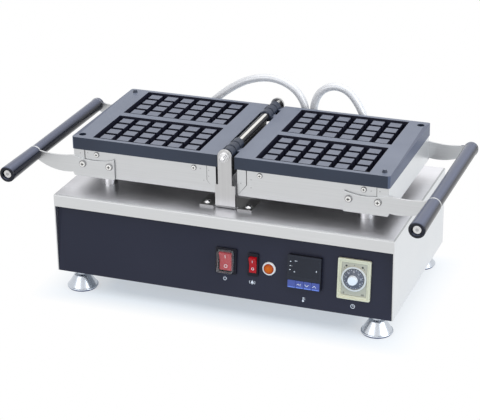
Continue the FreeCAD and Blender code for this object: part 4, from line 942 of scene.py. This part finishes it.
def panel_signs():
    """Plain signs under the controls: power, bell, thermometer and clock."""
    x, y = POWER_SIGN
    shapes = [bow(x, y, 2.6, 0.7, 125, 415), bar(x, y + 0.4, x, y + 3.3, 0.8)]
    x, y = BELL_SIGN
    shapes += [
        [[(x + across, y + up) for across, up in BELL]], disc(x, y - 2.4, 0.6), disc(x, y + 2.8, 0.4),
        bow(x, y, 4.3, 0.6, -35, 35), bow(x, y, 4.3, 0.6, 145, 215),
    ]
    x, y = HEAT_SIGN
    shapes += [disc(x, y - 2.2, 1.5), bar(x, y - 1.0, x, y + 3.2, 1.1)]
    shapes += [bar(x + 1.4, y + rise, x + 2.8, y + rise, 0.5) for rise in (0.0, 1.3, 2.6)]
    x, y = CLOCK_SIGN
    shapes += [hoop(x, y, 3.1, 0.7), bar(x, y - 0.2, x, y + 1.9, 0.6), bar(x - 0.2, y, x + 1.5, y, 0.6)]
    white_marks("panel_signs", ["front_panel"], "base", shapes)


def switch_marks():
    """A ring and a bar on each rocker."""
    for name, (x, low, high, size) in ROCKER_MARKS.items():
        white_marks(f"{name}_rocker_marks", [f"{name}_rocker"], f"{name}_rocker", [
            hoop(x, low, size, size * 0.3), bar(x, high - size, x, high + size, size * 0.36),
        ])


def controller_marks():
    """Marks round the controller's window, and a painted highlight along an edge and a sign on its keys."""
    shapes = [bar(x - 0.9, y, x + 0.9, y + 0.2, 1.0) for x, y in CONTROLLER_LAMPS]
    shapes += [bar(140.3, 55.2, 140.3, 57.6, 0.9), disc(112.4, 67.4, 0.5), disc(105.6, 59.9, 0.4)]
    white_marks("controller_marks", ["controller_case", "controller_window"], "base", shapes)
    strokes = [bar(117.6, height, 119.4, height, 0.6) for height in (33.4, 35.4)]
    signs = {
        "shift": chevron(115.3, 33.6, 1.7, 2.2, 0.6) + strokes,
        "down": chevron(127.6, 35.8, 2.6, -2.6, 0.7),
        "up": chevron(138.4, 33.2, 2.6, 2.6, 0.7),
    }
    for index, key in enumerate(KEYS):
        x = KEYS_MIDDLE + KEY_PITCH * (index - 1.5)
        on = [f"controller_key_{key}"]
        # Painted highlight: a light blue line along the foot of each key
        marks(f"key_{key}_edge", PANEL, on, f"key_{key}", key_edge_highlight,
              [bar(x - KEY_HALF, KEY_FOOT, x + KEY_HALF, KEY_FOOT, KEY_HIGHLIGHT)])
        if key in signs:
            white_marks(f"key_{key}_sign", on, f"key_{key}", signs[key])


def timer_marks():
    """Ticks and figures of the timer's dial, and the marks on the face round it."""
    x, y = DIAL
    ticks = []
    for index in range(TICKS):
        turn = math.radians(360 / TICKS * index)
        inner, outer = ((x + radius * math.cos(turn), y + radius * math.sin(turn))
                        for radius in (TICK_INNER[index % 2], TICK_OUTER))
        ticks.append(bar(*inner, *outer, TICK_WIDTH))
    white_marks("timer_ticks", ["timer_knob"], "timer_knob", ticks)
    labels = []
    for index in range(FIGURES):
        turn = FIGURE_START - FIGURE_TURN * index
        place = math.radians(turn)
        labels.append((str(index * FIGURE_COUNT), x + FIGURE_RADIUS * math.cos(place),
                       y + FIGURE_RADIUS * math.sin(place), FIGURE_SIZE, turn - 90))
    figures("timer_figures", PANEL, ["timer_knob"], "timer_knob", print_white, labels)
    marks("timer_lamps", PANEL, ["timer_body"], "base", print_dark, [
        disc(180.9, 70.2, 1.4), disc(203.5, 70.3, 1.4), bar(177.6, 67.2, 179.0, 68.2, 0.7),
        bar(206.8, 67.2, 205.4, 68.2, 0.7), bar(x, 71.4, x, 73.0, 0.6),
    ])
    figures("timer_range", PANEL, ["timer_body"], "base", print_dark,
            [("0", 178.4, RANGE_HEIGHT, RANGE_SIZE, 0), ("60", 204.6, RANGE_HEIGHT, RANGE_SIZE, 0)])


# Alarm switch: its place on the panel, and the outer and inner size of the seal round it
ALARM = (48.5, 51.8)
SEAL_OUTER, SEAL_INNER = (19.5, 32.3), (15.1, 27.9)
SEAL_FRONT, SEAL_GAUGE = 0.05, 1.0
CORNERS = ((-1, -1), (1, -1), (1, 1), (-1, 1))
ROD_DISC = 2.3

# Spot welds on the fronts of the housings, X and Z
WELD_RADIUS = 0.8
WELD_SPOTS = {
    "left": (
        (-38.6, 201.0), (-25.9, 200.2), (-26.1, 191.5), (-33.6, 184.3), (-219.2, 201.4), (-208.1, 202.8),
    ),
    "right": ((35.4, 194.0), (35.2, 182.2), (20.8, 187.2), (204.6, 200.3), (216.9, 201.5)),
}

# Edges of the folded flaps on the housings, and the width of the dark joint beside them, partly painted shade
# of the flaps' step
FLAP_INNER = 13.35
FLAP_OUTER = 16.55
FLAP_HEIGHT = 22.2
FLAP_FOOT = 3.2
FLAP_SEEN = 14.0
FLAP_TOP = 0.3
FLAP_END = 0.6
SEAM = 0.8


def switch_seal():
    """Thin seal between the alarm switch and the edge of its opening in the panel."""
    mesh = bmesh.new()
    x, height = ALARM
    levels = []
    for depth in (SEAL_FRONT, SEAL_FRONT + SEAL_GAUGE):
        level = []
        for width, tall in (SEAL_OUTER, SEAL_INNER):
            corners = [(x + sign * width / 2, height + way * tall / 2) for sign, way in CORNERS]
            spots = [X_AXIS * across + PANEL_UP * up + PANEL_IN * depth for across, up in corners]
            level.append([mesh.verts.new(PANEL_FOOT + spot * MM) for spot in spots])
        add_strip(mesh, *level)
        levels.append(level)
    for front, back in zip(*levels):
        add_strip(mesh, front, back)
    bmesh.ops.recalc_face_normals(mesh, faces=mesh.faces)
    own_piece(to_object("alarm_switch_seal", mesh), "base", panel_paint)


def rod_ends():
    """A darker grey disc in the middle of the nut at the front end of each handle rod."""
    for side in SIDES:
        low, high = (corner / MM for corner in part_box(f"{side}_handle_rod"))
        marks(f"{side}_rod_disc", FRONT, [f"{side}_handle_rod"], f"{side}_half", weld_mark,
              [disc((low.x + high.x) / 2, (low.z + high.z) / 2, ROD_DISC)])


def weld_marks():
    """Spot welds that show on the folded corners of the housings."""
    for side, places in WELD_SPOTS.items():
        marks(f"{side}_spot_welds", FRONT, [f"{side}_housing"], f"{side}_half", weld_mark,
              [disc(x, z, WELD_RADIUS) for x, z in places])


def flap_seams():
    """Dark joints along the edges of the housings' folded corner flaps: partly the joint's own line, partly
    painted shade of the flaps' step.
    """
    for side, sign in zip(SIDES, (-1, 1)):
        low, high = (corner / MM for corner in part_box(f"{side}_housing"))
        near, far = sorted((abs(low.x), abs(high.x)))
        inner, outer, top = near + FLAP_INNER, far - FLAP_OUTER, high.z - FLAP_TOP
        turn = top - FLAP_HEIGHT
        marks(f"{side}_flap_seams", FRONT, [f"{side}_housing"], f"{side}_half", recess_dark, [
            bar(sign * inner, top, sign * inner, turn, SEAM),
            bar(sign * inner, turn, sign * (near + FLAP_END), low.z + FLAP_FOOT, SEAM),
            bar(sign * outer, top, sign * outer, top - FLAP_SEEN, SEAM),
        ])


# Light, floor and camera

# Area lights: place, target, size, power and colour
LIGHTS = {
    "overhead": ((0.2, 0.3, 2.6), (0, 0, 0.2), (4.2, 3.8), 58, (1, 1, 1)),
    "right_side": ((2.4, -0.6, 1.0), (0, 0, 0.15), (2.2, 2.0), 36, (0.93, 0.97, 1.0)),
    "front": ((-1.2, -2.6, 1.2), (0, 0, 0.15), (2.2, 1.6), 17, (1, 1, 1)),
}
SKY_COLOUR, SKY_STRENGTH = (0.95, 0.97, 1.0, 1), 0.55
WHITE = (1, 1, 1, 1)

# The floor's shadow fades to plain white. On the scale of the fade, 1 lies 215 mm to the sides of the middle,
# which is somewhat inside the outline of the case, and about 124 mm to its front and rear.
FLOOR_COLOUR = (0.55, 0.76, 0.97, 1)
FLOOR_REACH = 6.0
FLOOR_SHARE = (1 / 0.215, 1 / 0.124, 1.0)
FLOOR_SHIFT = (0, -0.05, 0)
FADE_START, FADE_END = 0.82, 1.32
FADE_LEAST = 0.44
FADE_ROUNDING = 0.25


def add_camera():
    data = bpy.data.cameras.new("camera")
    data.lens = CAMERA_LENS
    data.sensor_width = SENSOR_WIDTH
    data.clip_end = CAMERA_FAR
    camera = bpy.data.objects.new("camera", data)
    scene.collection.objects.link(camera)
    aim = (CAMERA_TARGET - CAMERA_PLACE).to_track_quat("-Z", "Y")
    camera.matrix_world = Matrix.Translation(CAMERA_PLACE) @ (
        aim @ Quaternion((0, 0, 1), CAMERA_ROLL)).to_matrix().to_4x4()
    scene.camera = camera


def add_area_light(name, place, target, size, power, colour):
    data = bpy.data.lights.new(name, "AREA")
    data.shape = "RECTANGLE"
    data.size, data.size_y = size
    data.energy = power
    data.color = colour
    light = bpy.data.objects.new(name, data)
    scene.collection.objects.link(light)
    direction = Vector(target) - Vector(place)
    light.matrix_world = Matrix.Translation(place) @ direction.to_track_quat("-Z", "Y").to_matrix().to_4x4()


def seen_rays(tree):
    """1 for rays of the camera and for those of reflections and refractions, 0 for rays that only light."""
    rays = add_node(tree, "ShaderNodeLightPath").outputs
    glossy = calculate(tree, "MAXIMUM", rays["Is Glossy Ray"], rays["Is Transmission Ray"])
    return calculate(tree, "MAXIMUM", rays["Is Camera Ray"], glossy)


def add_world():
    """An even studio sky that looks white to the camera and in reflections."""
    world = bpy.data.worlds.new("studio")
    scene.world = world
    world.use_nodes = True
    tree = world.node_tree
    tree.nodes.clear()
    output = add_node(tree, "ShaderNodeOutputWorld")
    mix = add_node(tree, "ShaderNodeMixShader")
    light = add_node(tree, "ShaderNodeBackground", Color=SKY_COLOUR, Strength=SKY_STRENGTH)
    seen = add_node(tree, "ShaderNodeBackground", Color=WHITE, Strength=1.0)
    feed(tree, mix, Fac=seen_rays(tree))
    tree.links.new(light.outputs["Background"], mix.inputs[1])
    tree.links.new(seen.outputs["Background"], mix.inputs[2])
    feed(tree, output, Surface=mix.outputs["Shader"])


def floor_paper():
    """White studio paper that keeps the object's shadow near it and fades to plain white further out."""
    made, tree, shader = new_material(
        "floor_paper", Base_Color=FLOOR_COLOUR, Roughness=0.6, Specular_IOR_Level=0.1)
    place = add_node(tree, "ShaderNodeTexCoord")
    outline = add_node(tree, "ShaderNodeMapping", Scale=FLOOR_SHARE, Location=FLOOR_SHIFT)
    reach = add_node(tree, "ShaderNodeVectorMath")
    reach.operation = "ABSOLUTE"
    parts = add_node(tree, "ShaderNodeSeparateXYZ")
    fade = add_node(tree, "ShaderNodeMapRange", From_Min=FADE_START, From_Max=FADE_END, To_Min=FADE_LEAST,
                    To_Max=1.0)
    white = add_node(tree, "ShaderNodeEmission", Strength=1.0)
    mix = add_node(tree, "ShaderNodeMixShader")
    feed(tree, outline, Vector=place.outputs["Object"])
    tree.links.new(outline.outputs["Vector"], reach.inputs[0])
    feed(tree, parts, Vector=reach.outputs["Vector"])
    away = calculate(tree, "SMOOTH_MAX", parts.outputs["X"], parts.outputs["Y"], FADE_ROUNDING)
    feed(tree, fade, Value=away)
    feed(tree, mix, Fac=calculate(tree, "MULTIPLY", seen_rays(tree), fade.outputs["Result"]))
    tree.links.new(shader.outputs["BSDF"], mix.inputs[1])
    tree.links.new(white.outputs["Emission"], mix.inputs[2])
    feed(tree, tree.nodes["Material Output"], Surface=mix.outputs["Shader"])
    return made


def add_floor():
    mesh = bmesh.new()
    bmesh.ops.create_grid(mesh, x_segments=1, y_segments=1, size=FLOOR_REACH)
    floor = to_object("floor", mesh)
    floor.data.materials.append(floor_paper())


add_camera()
conduit("left", LEFT_ROUTE)
conduit("right", RIGHT_ROUTE)
finish_nodes()
paint_details()
soften_edges()
screws("left_screws", "left_half")
screws("right_screws", "right_half")
screws("case_screws", "base")
panel_signs()
switch_marks()
controller_marks()
timer_marks()
switch_seal()
rod_ends()
weld_marks()
flap_seams()
add_world()
for name, settings in LIGHTS.items():
    add_area_light(name, *settings)
add_floor()
scene.view_settings.view_transform = "Standard"
